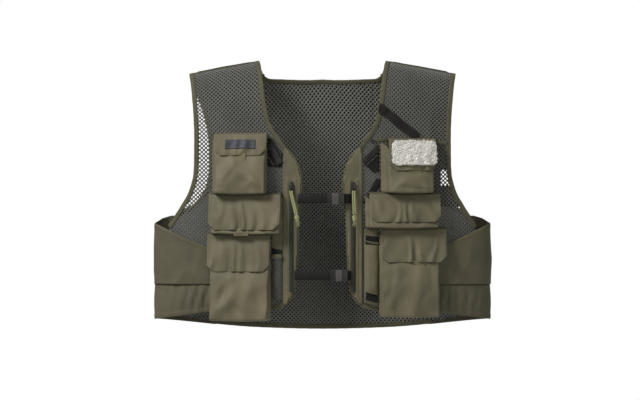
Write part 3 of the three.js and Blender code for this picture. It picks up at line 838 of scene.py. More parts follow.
def look_named(name):
    """The finish of that name, made once from the colours of the panel."""
    if name in LOOKS:
        return LOOKS[name]
    colours = bpy.context.scene.vest_colours
    makers = {
        "cloth": lambda: shell_cloth("olive_cloth", colours.cloth),
        # A darker copy of the cloth: painted shade inside the pockets and under the flaps, and a painted shadow on the
        # roots of the lower flaps.
        "dark_cloth": lambda: shell_cloth("inner_cloth", shade(colours.cloth, 0.55)),
        # A darker copy of the cloth for the side panels and bands: painted shade where the sides turn away from the
        # light.
        "side_cloth": lambda: shell_cloth("side_cloth", shade(colours.cloth, 0.72)),
        "mesh": lambda: mesh_yarn("mesh_yarn", colours.mesh),
        # A darker copy of the mesh yarn for the fronts and the pouch: painted shade, so they match the shaded mesh of
        # the back.
        "front_mesh": lambda: mesh_yarn("front_mesh_yarn", shade(colours.mesh, 0.6)),
        "binding": lambda: ribbed_tape("binding_tape", colours.binding, 1.3 * MM, 0.12 * MM),
        "webbing": lambda: ribbed_tape("black_webbing", colours.webbing, 1.7 * MM, 0.3 * MM, 0.6),
        "fleece": lambda: fleece_pile("fleece_pile", colours.fleece),
        "buckle": lambda: moulded_plastic("buckle_plastic", colours.buckle),
        "pale_buckle": lambda: moulded_plastic("buckle_bar_plastic", shade(colours.buckle, 3.4)),
        "coil": lambda: moulded_plastic("zip_coil", colours.zip),
        "zip_tape": lambda: ribbed_tape("zip_tape", shade(colours.zip, 0.9), 0.9 * MM, 0.1 * MM),
        "slider": lambda: coated_metal("slider_metal", (0.05, 0.05, 0.046)),
        "cord": lambda: braided_cord("lime_cord", colours.cord, (0.03, 0.035, 0.02)),
        "thread": lambda: sewing_thread("olive_thread", shade(colours.binding, 1.5)),
        "dark_thread": lambda: sewing_thread("dark_thread", shade(colours.binding, 0.55)),
        "pale_thread": lambda: sewing_thread("pale_thread", (0.30, 0.31, 0.27)),
        "label_thread": lambda: sewing_thread("label_thread", (0.075, 0.088, 0.14)),
        "tab": lambda: ribbed_tape("olive_tape", shade(colours.cloth, 1.12), 1.5 * MM, 0.15 * MM, 0.6),
        "grey_webbing": lambda: ribbed_tape(
            "grey_webbing", shade(colours.webbing, 2.2), 1.7 * MM, 0.3 * MM, 0.5),
        "label": lambda: woven_label("label_cloth", (0.016, 0.018, 0.023)),
        # Near-black look for the sheets and inner faces behind the mesh: painted shade seen through its holes.
        "lining": lambda: mesh_yarn("black_lining", (0.007, 0.007, 0.006)),
        "floor": lambda: pale_floor("pale_floor"),
    }
    LOOKS[name] = makers[name]()
    return LOOKS[name]


# ---------------------------------------------------------------- what a user may change


def colour_property(name, description, default):
    return FloatVectorProperty(
        name=name, description=description, subtype="COLOR", size=3, min=0, max=1, default=default)


def length_property(name, description, default):
    return FloatProperty(
        name=name, description=description, subtype="DISTANCE", unit="LENGTH", default=default)


class VestColours(bpy.types.PropertyGroup):
    """Colours of the cloths and the trim"""

    cloth: colour_property("Cloth", "Olive nylon of the pockets and flaps", (0.122, 0.107, 0.060))
    mesh: colour_property("Mesh", "Yarn of the knotted mesh", (0.185, 0.182, 0.155))
    binding: colour_property("Binding", "Tape round the raw edges", (0.075, 0.070, 0.040))
    webbing: colour_property("Webbing", "Straps and tool docks", (0.0065, 0.0058, 0.005))
    fleece: colour_property("Fleece", "Pile of the fly patch", (0.86, 0.84, 0.78))
    buckle: colour_property("Buckle", "Moulded buckles", (0.020, 0.019, 0.018))
    zip: colour_property("Zip", "Zip coil and tape", (0.034, 0.036, 0.024))
    cord: colour_property("Pull cord", "Braided zip pulls", (0.33, 0.345, 0.14))


class VestSizes(bpy.types.PropertyGroup):
    """Sizes of the cloth and its detail"""

    hole_pitch: length_property("Hole pitch", "Distance between holes of one row of the mesh", 7.8 * MM)
    hole: length_property("Hole", "Width of one hole of the mesh", 3.9 * MM)
    yarn: length_property("Yarn", "Thickness of the mesh", 0.9 * MM)
    cloth_wall: length_property("Cloth thickness", "Thickness of the pocket cloth with its hems", 1.1 * MM)
    belly: length_property("Pocket belly", "How far a pocket's front bulges", 3.2 * MM)
    flap_pucker: length_property("Flap pucker", "Depth of the folds over a flap's tab", 2.4 * MM)
    gather: length_property("Gathers", "Depth of the gathers of the side bands", 4.0 * MM)
    binding_width: length_property("Binding width", "Width of the edge binding", 9 * MM)
    tufts: IntProperty(name="Tufts", description="Curls of the fleece", default=2600, min=0)


class VestStage(bpy.types.PropertyGroup):
    """Camera and studio"""

    distance: length_property("Camera distance", "From the camera to the vest's front", 7.0)
    view_width: length_property("View width", "Width that the camera sees at the vest", 1.216)
    aim_across: length_property("Aim across", "Where the camera looks, from the middle", -4.75 * MM)
    aim_height: length_property("Aim height", "Where the camera looks, above the datum", 245 * MM)
    hang_height: length_property("Hang height", "From the floor to the vest's hem", 1.1)
    key: FloatProperty(
        name="Key light", description="Power of the large soft light", default=150, unit="POWER")
    fill: FloatProperty(name="Fill light", description="Power of the side light", default=16, unit="POWER")
    ambient: FloatProperty(name="Ambient", description="Brightness of the studio's walls", default=0.3, min=0)


class VestStep:
    """What every step of making the vest shares"""

    bl_options = {"REGISTER", "UNDO"}


# ---------------------------------------------------------------- camera and studio


class VEST_OT_stage(VestStep, bpy.types.Operator):
    """Camera, soft studio lights, white surroundings and a plain pale floor"""

    bl_idname = "vest.stage"
    bl_label = "Studio"

    def execute(self, context):
        stage = context.scene.vest_stage
        context.scene.view_settings.view_transform = "Standard"
        aim = Vector(HOME) + Vector((stage.aim_across, -FRONT_Y, stage.aim_height))
        self.camera(context, stage, aim)
        self.light("key_light", aim + Vector((-2.3, -1.9, 2.5)), aim, 1.3, stage.key)
        self.light("fill_light", aim + Vector((1.6, -2.8, 0.4)), aim, 2.0, stage.fill)
        self.light("back_light", aim + Vector((-0.8, 2.6, 1.6)), aim, 2.0, stage.fill)
        self.surroundings(context, stage)
        floor_mesh = bmesh.new()
        bmesh.ops.create_circle(floor_mesh, cap_ends=True, segments=96, radius=1.6)
        bmesh.ops.translate(floor_mesh, verts=floor_mesh.verts[:],
                            vec=(0, 0.2, CAD_BOX[0].z - stage.hang_height))
        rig.stage(object_from(floor_mesh, "floor", look_named("floor"), smooth=False))
        return {"FINISHED"}

    def camera(self, context, stage, aim):
        data = bpy.data.cameras.new("camera")
        data.sensor_width = 36
        data.lens = data.sensor_width * stage.distance / stage.view_width
        camera = bpy.data.objects.new("camera", data)
        camera.location = aim - Vector((0, stage.distance, 0))
        camera.rotation_euler = (math.pi / 2, 0, 0)
        context.scene.collection.objects.link(camera)
        context.scene.camera = camera

    def light(self, name, place, aim, size, power):
        data = bpy.data.lights.new(name, "AREA")
        data.size, data.energy = size, power
        light = bpy.data.objects.new(name, data)
        light.location = place
        light.rotation_euler = (aim - place).to_track_quat("-Z", "Y").to_euler()
        bpy.context.scene.collection.objects.link(light)

    def surroundings(self, context, stage):
        world = bpy.data.worlds.new("studio")
        world.use_nodes = True
        tree = world.node_tree
        walls = tree.nodes["Background"]
        walls.inputs["Strength"].default_value = stage.ambient
        walls.inputs["Color"].default_value = (1, 1, 1, 1)
        seen = tree.nodes.new("ShaderNodeBackground")
        seen.inputs["Color"].default_value = (1, 1, 1, 1)
        path, mix = tree.nodes.new("ShaderNodeLightPath"), tree.nodes.new("ShaderNodeMixShader")
        tree.links.new(path.outputs["Is Camera Ray"], mix.inputs[0])
        tree.links.new(walls.outputs[0], mix.inputs[1])
        tree.links.new(seen.outputs[0], mix.inputs[2])
        tree.links.new(mix.outputs[0], tree.nodes["World Output"].inputs[0])
        context.scene.world = world


# ---------------------------------------------------------------- zip pull cords

ZIP_X = 58.5 * MM
ZIP_SPAN = (71 * MM, 277 * MM)
EYE_OUT = 12.15 * MM
CORD_RADIUS = 1.6 * MM
CORDS_APART = 3.6 * MM

# Down the middle of each pull, from the slider's eye: inwards, out and down, in millimetres.
PULL_ROUTE = {
    "left": (
        (0, 0, 0), (0, 0.4, -3), (0.1, 0.8, -6), (0.2, 1.3, -9), (0.3, 1.8, -12), (0.3, 2.2, -15),
        (0.3, 2.6, -18), (0.2, 2.9, -21), (0.1, 3.2, -24), (0, 3.5, -27), (-0.1, 3.7, -30), (-0.2, 3.9, -33),
        (-0.3, 4.1, -36), (-0.3, 4.2, -39), (-0.3, 4.3, -42), (-0.3, 4.4, -45),
    ),
    "right": (
        (0, 0, 0), (0.2, 0.4, -3), (0.6, 0.8, -6), (1.2, 1.3, -9), (1.9, 1.8, -12), (2.7, 2.2, -15),
        (3.5, 2.6, -18), (4.3, 2.9, -21), (5.1, 3.2, -24), (5.9, 3.5, -27), (6.7, 3.7, -30), (7.5, 3.9, -33),
        (8.2, 4.1, -36), (8.9, 4.2, -39), (9.6, 4.3, -42), (10.3, 4.4, -45),
    ),
}


def round_section(radius, sides=10):
    angles = np.linspace(0, 2 * math.pi, sides, endpoint=False)
    return np.stack([radius * np.cos(angles), radius * np.sin(angles)], axis=-1)


def pull_track(name, offset):
    side = SIDES[name]
    eye_height = slider_span(name)[0] - 0.35 * MM
    route = np.array([(ZIP_X - inwards * MM + offset, EYE_OUT + out * MM, eye_height + down * MM)
                      for inwards, out, down in PULL_ROUTE[name]])
    line = smooth_line(route, 1.2 * MM)
    points = on_front(side, line[:, 0], line[:, 1], line[:, 2])
    return Track(points, np.tile((0, -1.0, 0), (len(points), 1)))


def slider_span(name):
    return spans(f"zip_slider_{name}", SIDES[name])[2]


class VEST_OT_pull_cords(VestStep, bpy.types.Operator):
    """Two braided cords and their knot on each zip slider"""

    bl_idname = "vest.pull_cords"
    bl_label = "Pull cords"

    def execute(self, context):
        for name in SIDES:
            body = f"zip_pull_{name}"
            knot = self.knot(name)
            dress(knot, body, "pull_cord", f"pull_knot_{name}")
            for strand, sign in (("inner", -1), ("outer", 1)):
                track = pull_track(name, sign * CORDS_APART / 2)
                cord = self.cord(f"cord_{name}_{strand}", track)
                dress(cord, body, "pull_cord", f"pull_cord_{name}_{strand}")
                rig.cord(
                    cord, exit=track.points[0], length=round(track.length, 4), diameter=2 * CORD_RADIUS,
                    far_end="knot", stiffness="limp", lay="hanging", path=track.points, with_pieces=[knot])
        return {"FINISHED"}

    def cord(self, name, track):
        bm = bmesh.new()
        add_swept(bm, track, round_section(CORD_RADIUS, 12), cell=1.2 * MM)
        return object_from(bm, name, look_named("cord"))

    def knot(self, name):
        """An overhand knot drawn tight, with the two cut ends frayed below it."""
        track = pull_track(name, 0)
        end, lean = Vector(track.points[-1]), Vector(track.along[-1])
        bm = bmesh.new()
        bmesh.ops.create_uvsphere(bm, u_segments=28, v_segments=20, radius=1)
        for vert in bm.verts:
            angle = math.atan2(vert.co.y, vert.co.x)
            wraps = 1 + 0.16 * math.sin(2 * angle + 7 * vert.co.z)
            wraps += 0.06 * math.sin(5 * angle - 3 * vert.co.z)
            vert.co.x *= wraps
            vert.co.y *= wraps
        half = 6.6 * MM
        size = Matrix.Diagonal((4.0 * MM, 3.6 * MM, half, 1))
        middle = end + lean * (half + 0.4 * MM)
        turn = Vector((0, 0, -1)).rotation_difference(lean).to_matrix().to_4x4()
        bmesh.ops.transform(bm, matrix=Matrix.Translation(middle) @ turn @ size, verts=bm.verts[:])
        keep_uv(bm)
        chance = random.Random(name)
        for strand in range(16):
            start = middle + lean * half * 0.8 + Vector([chance.uniform(-1.8, 1.8) * MM for _ in range(3)])
            spread = Vector([chance.uniform(-1, 1) for _ in range(3)]) * 0.45
            stops = [start + (lean + spread * share) * 9 * MM * share for share in np.linspace(0, 1, 6)]
            thread = Track(np.array(stops), np.tile((0.02, -1.0, 0.03), (6, 1)))
            add_swept(bm, thread, round_section(0.35 * MM, 5), cell=2 * MM)
        return object_from(bm, f"knot_{name}", look_named("cord"))


# ---------------------------------------------------------------- knotted mesh


def inside(outline, x, z):
    """Which points lie inside a closed outline."""
    odd = np.zeros(len(x), bool)
    for (x0, z0), (x1, z1) in zip(outline, [*outline[1:], outline[0]]):
        if z0 != z1:
            odd ^= ((z0 > z) != (z1 > z)) & (x < x0 + (z - z0) * (x1 - x0) / (z1 - z0))
    return odd


def well_inside(outline, x, z, margin=4.6 * MM):
    steps = ((margin, 0), (-margin, 0), (0, margin), (0, -margin))
    return np.logical_and.reduce([inside(outline, x + dx, z + dz) for dx, dz in steps])


def net_cloth(name, x_span, y_span, keep, place, look="mesh", scale=1.0):
    """Square meshes standing on their corners, each with a round hole; place maps flat metres to the vest."""
    sizes = bpy.context.scene.vest_sizes
    pitch, radius = sizes.hole_pitch * scale / math.sqrt(2), sizes.hole * scale / 2
    middle = ((x_span[0] + x_span[1]) / 2, (y_span[0] + y_span[1]) / 2)
    snapped = [round(value / sizes.hole_pitch / scale) * sizes.hole_pitch * scale for value in middle]
    reach = math.hypot(x_span[1] - x_span[0], y_span[1] - y_span[0])
    count = 2 * math.ceil(reach / pitch / 2) + 2
    bm = bmesh.new()
    turned = Matrix.Translation((*snapped, 0)) @ Matrix.Rotation(math.radians(45), 4, "Z")
    bmesh.ops.create_grid(bm, x_segments=count, y_segments=count, size=count * pitch / 2, matrix=turned)
    faces = bm.faces[:]
    centres = np.array([face.calc_center_median() for face in faces])
    x, y = centres[:, 0], centres[:, 1]
    within = (x >= x_span[0]) & (x < x_span[1]) & (y >= y_span[0]) & (y <= y_span[1])
    within &= keep(x, y)
    bmesh.ops.delete(bm, geom=[f for f, kept in zip(faces, within) if not kept], context="FACES")
    holes = bm.faces[:]
    bmesh.ops.inset_individual(bm, faces=holes, thickness=pitch / 2 - radius * 0.86, use_even_offset=True)
    rims = list({edge for face in holes for edge in face.edges})
    bmesh.ops.subdivide_edges(bm, edges=rims, cuts=1)
    for face in holes:
        centre = face.calc_center_median()
        for vert in face.verts:
            vert.co = centre + (vert.co - centre).normalized() * radius
    bmesh.ops.delete(bm, geom=holes, context="FACES_ONLY")
    bm.normal_update()
    bmesh.ops.solidify(bm, geom=bm.faces[:], thickness=sizes.yarn)
    x, y, z = np.array([v.co for v in bm.verts]).T
    knot = np.abs(np.sin(math.pi * (x + y) / sizes.hole_pitch / scale)
                  * np.sin(math.pi * (x - y) / sizes.hole_pitch / scale))
    out = z + sizes.yarn / 2 + np.where(z > -sizes.yarn / 2, 1, -1) * 0.35 * MM * (knot - 0.5)
    for vert, point in zip(bm.verts, place(x, y, out)):
        vert.co = point
    bmesh.ops.recalc_face_normals(bm, faces=bm.faces[:])
    return object_from(bm, name, look_named(look))


MESH_OUT = 1.0 * MM  # middle of the mesh's thickness


def shell_net(name, x_span, sign, outline, lowest, look):
    """Mesh over the front (-1) or the back (1) of the shell, inside an outline of (x, z) corners."""

    def keep(x, y):
        points = bare_shell(x, turn_of_length(-y, sign))
        return well_inside(outline, points[:, 0], points[:, 2]) & (points[:, 2] > lowest)

    def place(x, y, out):
        return on_shell(x, turn_of_length(-y, sign), out + MESH_OUT)

    return net_cloth(name, x_span, (-700 * MM, -2 * MM), keep, place, look)


def front_outline(side):
    half = [(300 * MM, 22 * MM), (300 * MM, 187 * MM), *flat(ARMHOLE_FRONT), (256 * MM, 520 * MM),
            (121 * MM, 520 * MM), *reversed(flat(FRONT_HEM + FRONT_EDGE)), (204 * MM, 22 * MM)]
    return [(side * x, z) for x, z in half]


def back_outline():
    half = [(300 * MM, 24 * MM), (300 * MM, 208 * MM), *reversed(flat(ARMHOLE_BACK)[1:]),
            (256 * MM, 520 * MM), (121 * MM, 520 * MM), *flat(NECK)[1:]]
    hem = flat(BACK_HEM)
    mirrored_half = [(-x, z) for x, z in reversed(half[:-1])]
    mirrored_hem = [(-x, z) for x, z in hem]
    return [*half, *mirrored_half, *mirrored_hem, *reversed(hem[:-1])]


class VEST_OT_mesh_panels(VestStep, bpy.types.Operator):
    """The knotted mesh of the two fronts and the back"""

    bl_idname = "vest.mesh_panels"
    bl_label = "Mesh panels"

    def execute(self, context):
        for name, side in SIDES.items():
            ends = sorted((side * 30 * MM, side * 300 * MM))
            # The fronts take the darker front mesh look: painted shade.
            obj = shell_net(f"mesh_front_{name}", ends, -1, front_outline(side), 0, "front_mesh")
            dress(obj, "vest", "mesh_fabric", f"front_mesh_{name}")
        stops = np.array((-300, -100, 100, 300)) * MM
        for part, ends in zip(("right", "middle", "left"), zip(stops, stops[1:])):
            obj = shell_net(f"mesh_back_{part}", ends, 1, back_outline(), -20 * MM, "mesh")
            dress(obj, "vest", "mesh_fabric", "back_mesh")
        return {"FINISHED"}


# ---------------------------------------------------------------- cloth on the back and the sides


def row_over(place, corners, outward, spacing=2 * MM):
    """A track over a placed pattern, along straight lines between flat corners."""
    x, y = straight_line(corners, spacing).T
    step = 0.3 * MM
    across = place(x + step, y, 0 * x) - place(x - step, y, 0 * x)
    along = place(x, y + step, 0 * x) - place(x, y - step, 0 * x)
    normals = np.cross(across, along)
    facing = 1 if (normals @ np.array(outward)).sum() > 0 else -1
    return Track(place(x, y, 0 * x), facing * normals)


def sewn_cloth(name, bm, place, outward, look, wall=None, lining=None, rows=(), thread="thread"):
    """A flat pattern put in place, given its thickness, and stitched along flat rows."""
    keep_uv(bm)
    moved(bm, place)
    turn_outward(bm, Vector(outward))
    outer = set(bm.faces)
    thicken(bm, wall or bpy.context.scene.vest_sizes.cloth_wall)
    # When a darker look is given, the inner faces take it: painted shade on the cloth's unlit side.
    if lining:
        for face in set(bm.faces) - outer:
            face.material_index = 2
    for row in rows:
        add_stitches(bm, row_over(place, row, outward))
    return object_from(bm, name, [look, look_named(thread), lining or look])


def trim_outside(bm, outline, points, margin=2.5 * MM):
    """Removes the faces of a flat pattern whose (x, height) on the vest lie outside an outline."""
    kept = well_inside(outline, points[:, 0], points[:, 1], margin)
    bmesh.ops.delete(bm, geom=[f for f, k in zip(bm.faces[:], kept) if not k], context="FACES")


def face_centres(bm):
    return np.array([face.calc_center_median() for face in bm.faces])


def on_face(side, x, z, out, sign=-1):
    """Points over the shell's front (-1) or back (1) at x and a height."""
    return on_shell(side * x, turn_at(x, z, sign), out)


def face_track(side, corners, out, sign=-1, spacing=3 * MM, smooth=False):
    """A track over the shell through (x, height) corners in millimetres."""
    corners = np.array(corners, float) * MM
    line = (smooth_line if smooth else straight_line)(corners, spacing)
    x, z = line[:, 0], line[:, 1]
    turn = turn_at(x, z, sign)
    return Track(on_shell(side * x, turn, np.full(len(x), out)), shell_normal(side * x, turn))


def cargo_swell(x, z):
    """How far the loaded back pocket stands out."""
    across = np.clip(1 - (x / (196 * MM)) ** 4, 0, 1)
    height = np.clip((z - 14 * MM) / (50 * MM), 0, 1) * np.clip((296 * MM - z) / (70 * MM), 0, 1)
    return 5 * MM * across * height


class VEST_OT_back_panels(VestStep, bpy.types.Operator):
    """The back yoke and the large back pocket with its zip"""

    bl_idname = "vest.back_panels"
    bl_label = "Back panels"

    def execute(self, context):
        self.yoke()
        self.cargo()
        return {"FINISHED"}

    def yoke(self):
        foot, reach = 362 * MM, 0.986
        bm = pattern((-253 * MM, 253 * MM), (0, reach), 4 * MM, rows_cell=reach / 40)

        def turn_of(x, share):
            return turn_at(x, np.full_like(x, foot), 1) * (1 - share)

        centres = face_centres(bm)
        on_back = bare_shell(centres[:, 0], turn_of(centres[:, 0], centres[:, 1]))
        trim_outside(bm, back_outline(), on_back[:, ::2], 6 * MM)

        def place(x, y, _z):
            turn = turn_of(x, y)
            bare = bare_shell(x, turn)
            depths = [well_inside(back_outline(), bare[:, 0], bare[:, 2], m * MM) for m in (7, 9, 11, 13)]
            free = np.mean(depths, axis=0)
            rise = 1.6 * MM + 0.7 * MM * lumps(bare, 45 * MM, 3) + 0.3 * MM * ridged(bare, 30 * MM, 5)
            return on_shell(x, turn, 1.3 * MM + (FIRST - 1.3 * MM + rise) * free)

        rows = [[(-205 * MM, share), (205 * MM, share)] for share in (0.02, 0.05)]
        # Its inner faces take the near-black lining look: painted shade seen through the back mesh's holes.
        obj = sewn_cloth(
            "yoke", bm, place, (0, 1, 0.3), look_named("cloth"), lining=look_named("lining"), rows=rows)
        dress(obj, "vest", "shell_fabric", "back_yoke")
        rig.sheet(obj, flat=(0.42, 0.19), held="stretched", rests_on=["back_mesh"])

    def cargo(self):
        bm = pattern((-203 * MM, 203 * MM), (-8 * MM, 357 * MM), 4.5 * MM)
        trim_outside(bm, back_outline(), face_centres(bm))

        def place(x, y, _z):
            bare = on_face(1, x, y, np.zeros_like(x), 1)
            rise = 1.1 * MM * lumps(bare, 60 * MM, 8) + 0.6 * MM * ridged(bare, 48 * MM, 2)
            return on_face(1, x, y, FIRST + 1.9 * MM + cargo_swell(x, y) + rise * (y > 0), 1)

        hemmed = [(-199 * MM, 20 * MM), (-199 * MM, 353 * MM), (199 * MM, 353 * MM), (199 * MM, 20 * MM)]
        rows = [hemmed, *[[(-150 * MM, z * MM), (150 * MM, z * MM)] for z in (306, 290)]]
        # Its inner faces take the near-black lining look: painted shade seen through the back mesh's holes.
        obj = sewn_cloth(
            "cargo_pocket", bm, place, (0, 1, 0), look_named("cloth"), lining=look_named("lining"), rows=rows)
        dress(obj, "vest", "shell_fabric", "back_cargo_panel")
        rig.sheet(obj, flat=(0.42, 0.36), held="stretched", rests_on=["back_mesh"])
        trim = bmesh.new()
        track = row_over(place, [(-150 * MM, 298 * MM), (150 * MM, 298 * MM)], (0, 1, 0)).shifted(0, 0.4 * MM)
        add_swept(trim, track, rounded_bar(13 * MM, 0.9 * MM), material=1)
        add_coil(trim, track.shifted(0, 0.7 * MM))
        seam = face_track(1, [(-206, 359.5), (206, 359.5)], FIRST + 1.9 * MM, 1)
        add_swept(trim, seam, rounded_bar(8 * MM, 1.4 * MM), material=2)
        looks = looks_named("coil", "zip_tape", "binding")
        dress(object_from(trim, "back_zip", looks), "vest", "zip_coil")


def add_coil(bm, track, pitch=1.5 * MM, material=0):
    """Adds the two interlocked rows of a zip's coil, one small turn at a time."""
    for row, sign in enumerate((-1, 1)):
        for distance in np.arange(pitch * (0.5 + row / 2), track.length, pitch):
            where = np.array([distance])
            point = track.place(where, np.array([sign * 0.9 * MM]), np.array([0.0]))[0]
            along, up = track.at(where, track.along)[0], track.at(where, track.normals)[0]
            turn = Matrix((along, np.cross(up, along), up)).transposed().to_4x4()
            size = Matrix.Diagonal((0.62 * MM, 1.5 * MM, 0.8 * MM, 1))
            made = bmesh.ops.create_icosphere(
                bm, subdivisions=1, radius=1, matrix=Matrix.Translation(Vector(point)) @ turn @ size)
            for face in faces_of(made):
                face.material_index = material
                face.smooth = True


WRAP_END = 124  # degrees, and millimetres past them, where the side pieces end
BAND_TOP = 84 * MM
FRONT_TOP = ((206, 149), (220, 155), (251, 168), (281, 182), (318, 201))
BACK_TOP = ((206, 208), (262, 215), (290, 215), (306, 210), (318, 201))


class WrapLine:
    """Turns lengths along the side's wrap, from the fold, into its degrees."""

    def __init__(self):
        self.degrees = np.linspace(-WRAP_END, WRAP_END, 800)
        plan = wrap_plan(self.degrees)
        run = np.concatenate([[0], np.cumsum(np.linalg.norm(np.diff(plan, axis=0), axis=1))])
        self.run = run - np.interp(0, self.degrees, run)

    def at(self, length):
        return np.interp(length, self.run, self.degrees)

    @property
    def span(self):
        return self.run[0], self.run[-1]


class VEST_OT_side_panels(VestStep, bpy.types.Operator):
    """The solid side panels and the gathered bands under them"""

    bl_idname = "vest.side_panels"
    bl_label = "Side panels"

    def execute(self, context):
        self.wrap = WrapLine()
        for name, side in SIDES.items():
            self.panel(name, side)
            self.band(name, side, context.scene.vest_sizes.gather)
        return {"FINISHED"}

    def edge_height(self, points, x):
        corners = np.array(points) * MM
        return np.interp(x, corners[:, 0], corners[:, 1])

    def tops(self, degrees):
        x = wrap_plan(degrees)[:, 0]
        return np.where(degrees < 0, self.edge_height(FRONT_TOP, x), self.edge_height(BACK_TOP, x))

    def panel_rise(self, side, degrees, height):
        bare = on_wrap(side, degrees, np.zeros_like(degrees), height)
        broad = 0.5 + 0.5 * lumps(bare, 65 * MM, 11 + side)
        sharp = np.clip(ridged(bare * (1, 1, 0.55), 42 * MM, 4 + side), 0, 1)
        return 4.2 * MM * broad + 1.6 * MM * sharp**2

    def panel(self, name, side):
        bm = pattern(self.wrap.span, (0, 1), 3.2 * MM, rows_cell=1 / 38)

        def place(x, share, _z):
            degrees = self.wrap.at(x)
            height = BAND_TOP + share * (self.tops(degrees) - BAND_TOP)
            calm = np.clip(1 - share, 0, 1) ** 0.4 * np.clip((WRAP_END - np.abs(degrees)) / 10, 0.2, 1)
            rise = self.panel_rise(side, degrees, height) * np.where(degrees < 0, calm, calm * 0.5)
            hem = 0.5 * MM * np.clip((share - 0.9) / 0.03, 0, 1)
            return on_wrap(side, degrees, FIRST + 1.4 * MM + rise + hem, height)

        ends = (self.wrap.span[0] + 2 * MM, self.wrap.span[1] - 2 * MM)
        rows = [[(ends[0], share), (ends[1], share)] for share in (0.93, 0.03)]
        # The panel takes the darker side cloth, painted shade where the side turns from the light, and the shaded
        # cloth inside.
        obj = sewn_cloth(f"side_cloth_{name}", bm, place, (side, 0, 0), look_named("side_cloth"),
                         lining=look_named("dark_cloth"), rows=rows)
        dress(obj, "vest", "shell_fabric", f"side_panel_{name}")
        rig.sheet(obj, flat=(0.31, 0.10), held="stretched", rests_on=["front_mesh_" + name, "back_mesh"])

    def hem(self, degrees):
        share = (FOLD_X - wrap_plan(degrees)[:, 0]) / (FOLD_X - 206 * MM)
        return 17 * MM + share * np.where(degrees < 0, 16 * MM, -12.5 * MM)

    def band(self, name, side, depth):
        bm = pattern(self.wrap.span, (0, 1), 2.4 * MM, rows_cell=1 / 26)

        def place(x, share, _z):
            degrees = self.wrap.at(x)
            foot = self.hem(degrees)
            height = foot + share * (BAND_TOP - 0.4 * MM - foot)
            bare = on_wrap(side, degrees, np.zeros_like(degrees), height)
            wander = 5 * MM * lumps(bare, 30 * MM, 21)
            wander += 10 * MM * (1 - share) * lumps(bare, 60 * MM, 23 + side)
            folds = 0.5 + 0.5 * np.sin(2 * math.pi * (x + wander) / (19 * MM))
            small = 0.5 + 0.5 * np.sin(2 * math.pi * (x * 1.9 - wander) / (19 * MM))
            near_pocket = np.clip((-x - 10 * MM) / (90 * MM), 0.12, 1)
            fall = np.sin(math.pi * np.clip(share * 0.86 + 0.1, 0, 1)) ** 0.7
            rise = depth * (folds * 0.75 + small * 0.25) * near_pocket * fall
            edge = 0.9 * MM * np.clip((0.15 - share) / 0.03, 0, 1)
            bulge = 1.5 * MM * np.sin(math.pi * share)
            return on_wrap(side, degrees, FIRST + 1.3 * MM + rise + bulge + edge, height)

        ends = (self.wrap.span[0] + 2 * MM, self.wrap.span[1] - 2 * MM)
        # The band takes the darker side cloth, painted shade where the side turns from the light, and the shaded cloth
        # inside.
        obj = sewn_cloth(f"band_cloth_{name}", bm, place, (side, 0, 0), look_named("side_cloth"),
                         lining=look_named("dark_cloth"), rows=[[(ends[0], 0.15), (ends[1], 0.15)]])
        dress(obj, "vest", "shell_fabric", f"side_band_{name}")
        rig.sheet(obj, flat=(0.33, 0.07), held="gathered", rests_on=["front_mesh_" + name, "back_mesh"])


# ---------------------------------------------------------------- bindings and seams


class VEST_OT_bindings(VestStep, bpy.types.Operator):
    """Tape round the neck and fronts, the armholes and the hem, and the seam over the left chest pocket"""

    bl_idname = "vest.bindings"
    bl_label = "Bindings"

    def execute(self, context):
        width = context.scene.vest_sizes.binding_width
        mirrored_hole = tuple((-x, z, sign) for x, z, sign in ARMHOLE)
        for name, edge, towards, node in (
            ("collar_tape", COLLAR, 1, "collar_binding"),
            ("armhole_tape_left", ARMHOLE, -1, "armhole_binding_left"),
            ("armhole_tape_right", mirrored_hole, 1, "armhole_binding_right"),
            ("hem_tape", both_sides(BACK_HEM), -1, "hem_binding"),
        ):
            track = shell_track(edge)
            bm = bmesh.new()
            middle = track.shifted(towards * width / 2, 1.25 * MM)
            add_swept(bm, middle, rounded_bar(width, 3.3 * MM, 7), cell=2.5 * MM, wave=self.pucker)
            inner_row = middle.shifted(towards * (width / 2 - 1.7 * MM), 1.75 * MM)
            add_stitches(bm, inner_row)
            obj = object_from(bm, name, looks_named("binding", "thread"))
            dress(obj, "vest", "binding_tape", node)
        self.chest_seam()
        self.shoulder_seams()
        return {"FINISHED"}

    def shoulder_seams(self):
        for name, side in SIDES.items():
            x = side * np.linspace(RIDGE_IN[0] + 1 * MM, RIDGE_OUT[0] - 1 * MM, 46)
            crest = Track(on_shell(x, 0 * x, 1.1 * MM + 0 * x), shell_normal(x, 0 * x))
            bm = bmesh.new()
            add_swept(bm, crest, rounded_bar(15 * MM, 2.2 * MM), wave=self.pucker)
            for across in (-5.5 * MM, 5.5 * MM):
                add_stitches(bm, crest.shifted(across, 1.2 * MM))
            looks = looks_named("binding", "thread")
            dress(object_from(bm, f"shoulder_seam_{name}", looks), "vest", "binding_tape")

    def pucker(self, along, across, out):
        angle = along * 2 * math.pi
        ripple = 1 + 0.10 * np.sin(angle / (6.8 * MM)) + 0.08 * np.sin(angle / (31 * MM))
        return across * (1 + 0.02 * np.sin(angle / (23 * MM))), out * ripple

    def chest_seam(self):
        bm = bmesh.new()
        track = face_track(LEFT, [(98, 359), (150, 361), (238, 353)], 2.9 * MM, smooth=True)
        add_swept(bm, track, rounded_bar(7 * MM, 1.6 * MM), wave=self.pucker)
        for across in (-2.2 * MM, 2.2 * MM):
            add_stitches(bm, track.shifted(across, 0.95 * MM))
        looks = looks_named("binding", "thread")
        dress(object_from(bm, "chest_seam_left", looks), "vest", "binding_tape")


# ---------------------------------------------------------------- plackets, zips and sliders

PLACKET_OUTER = 75 * MM


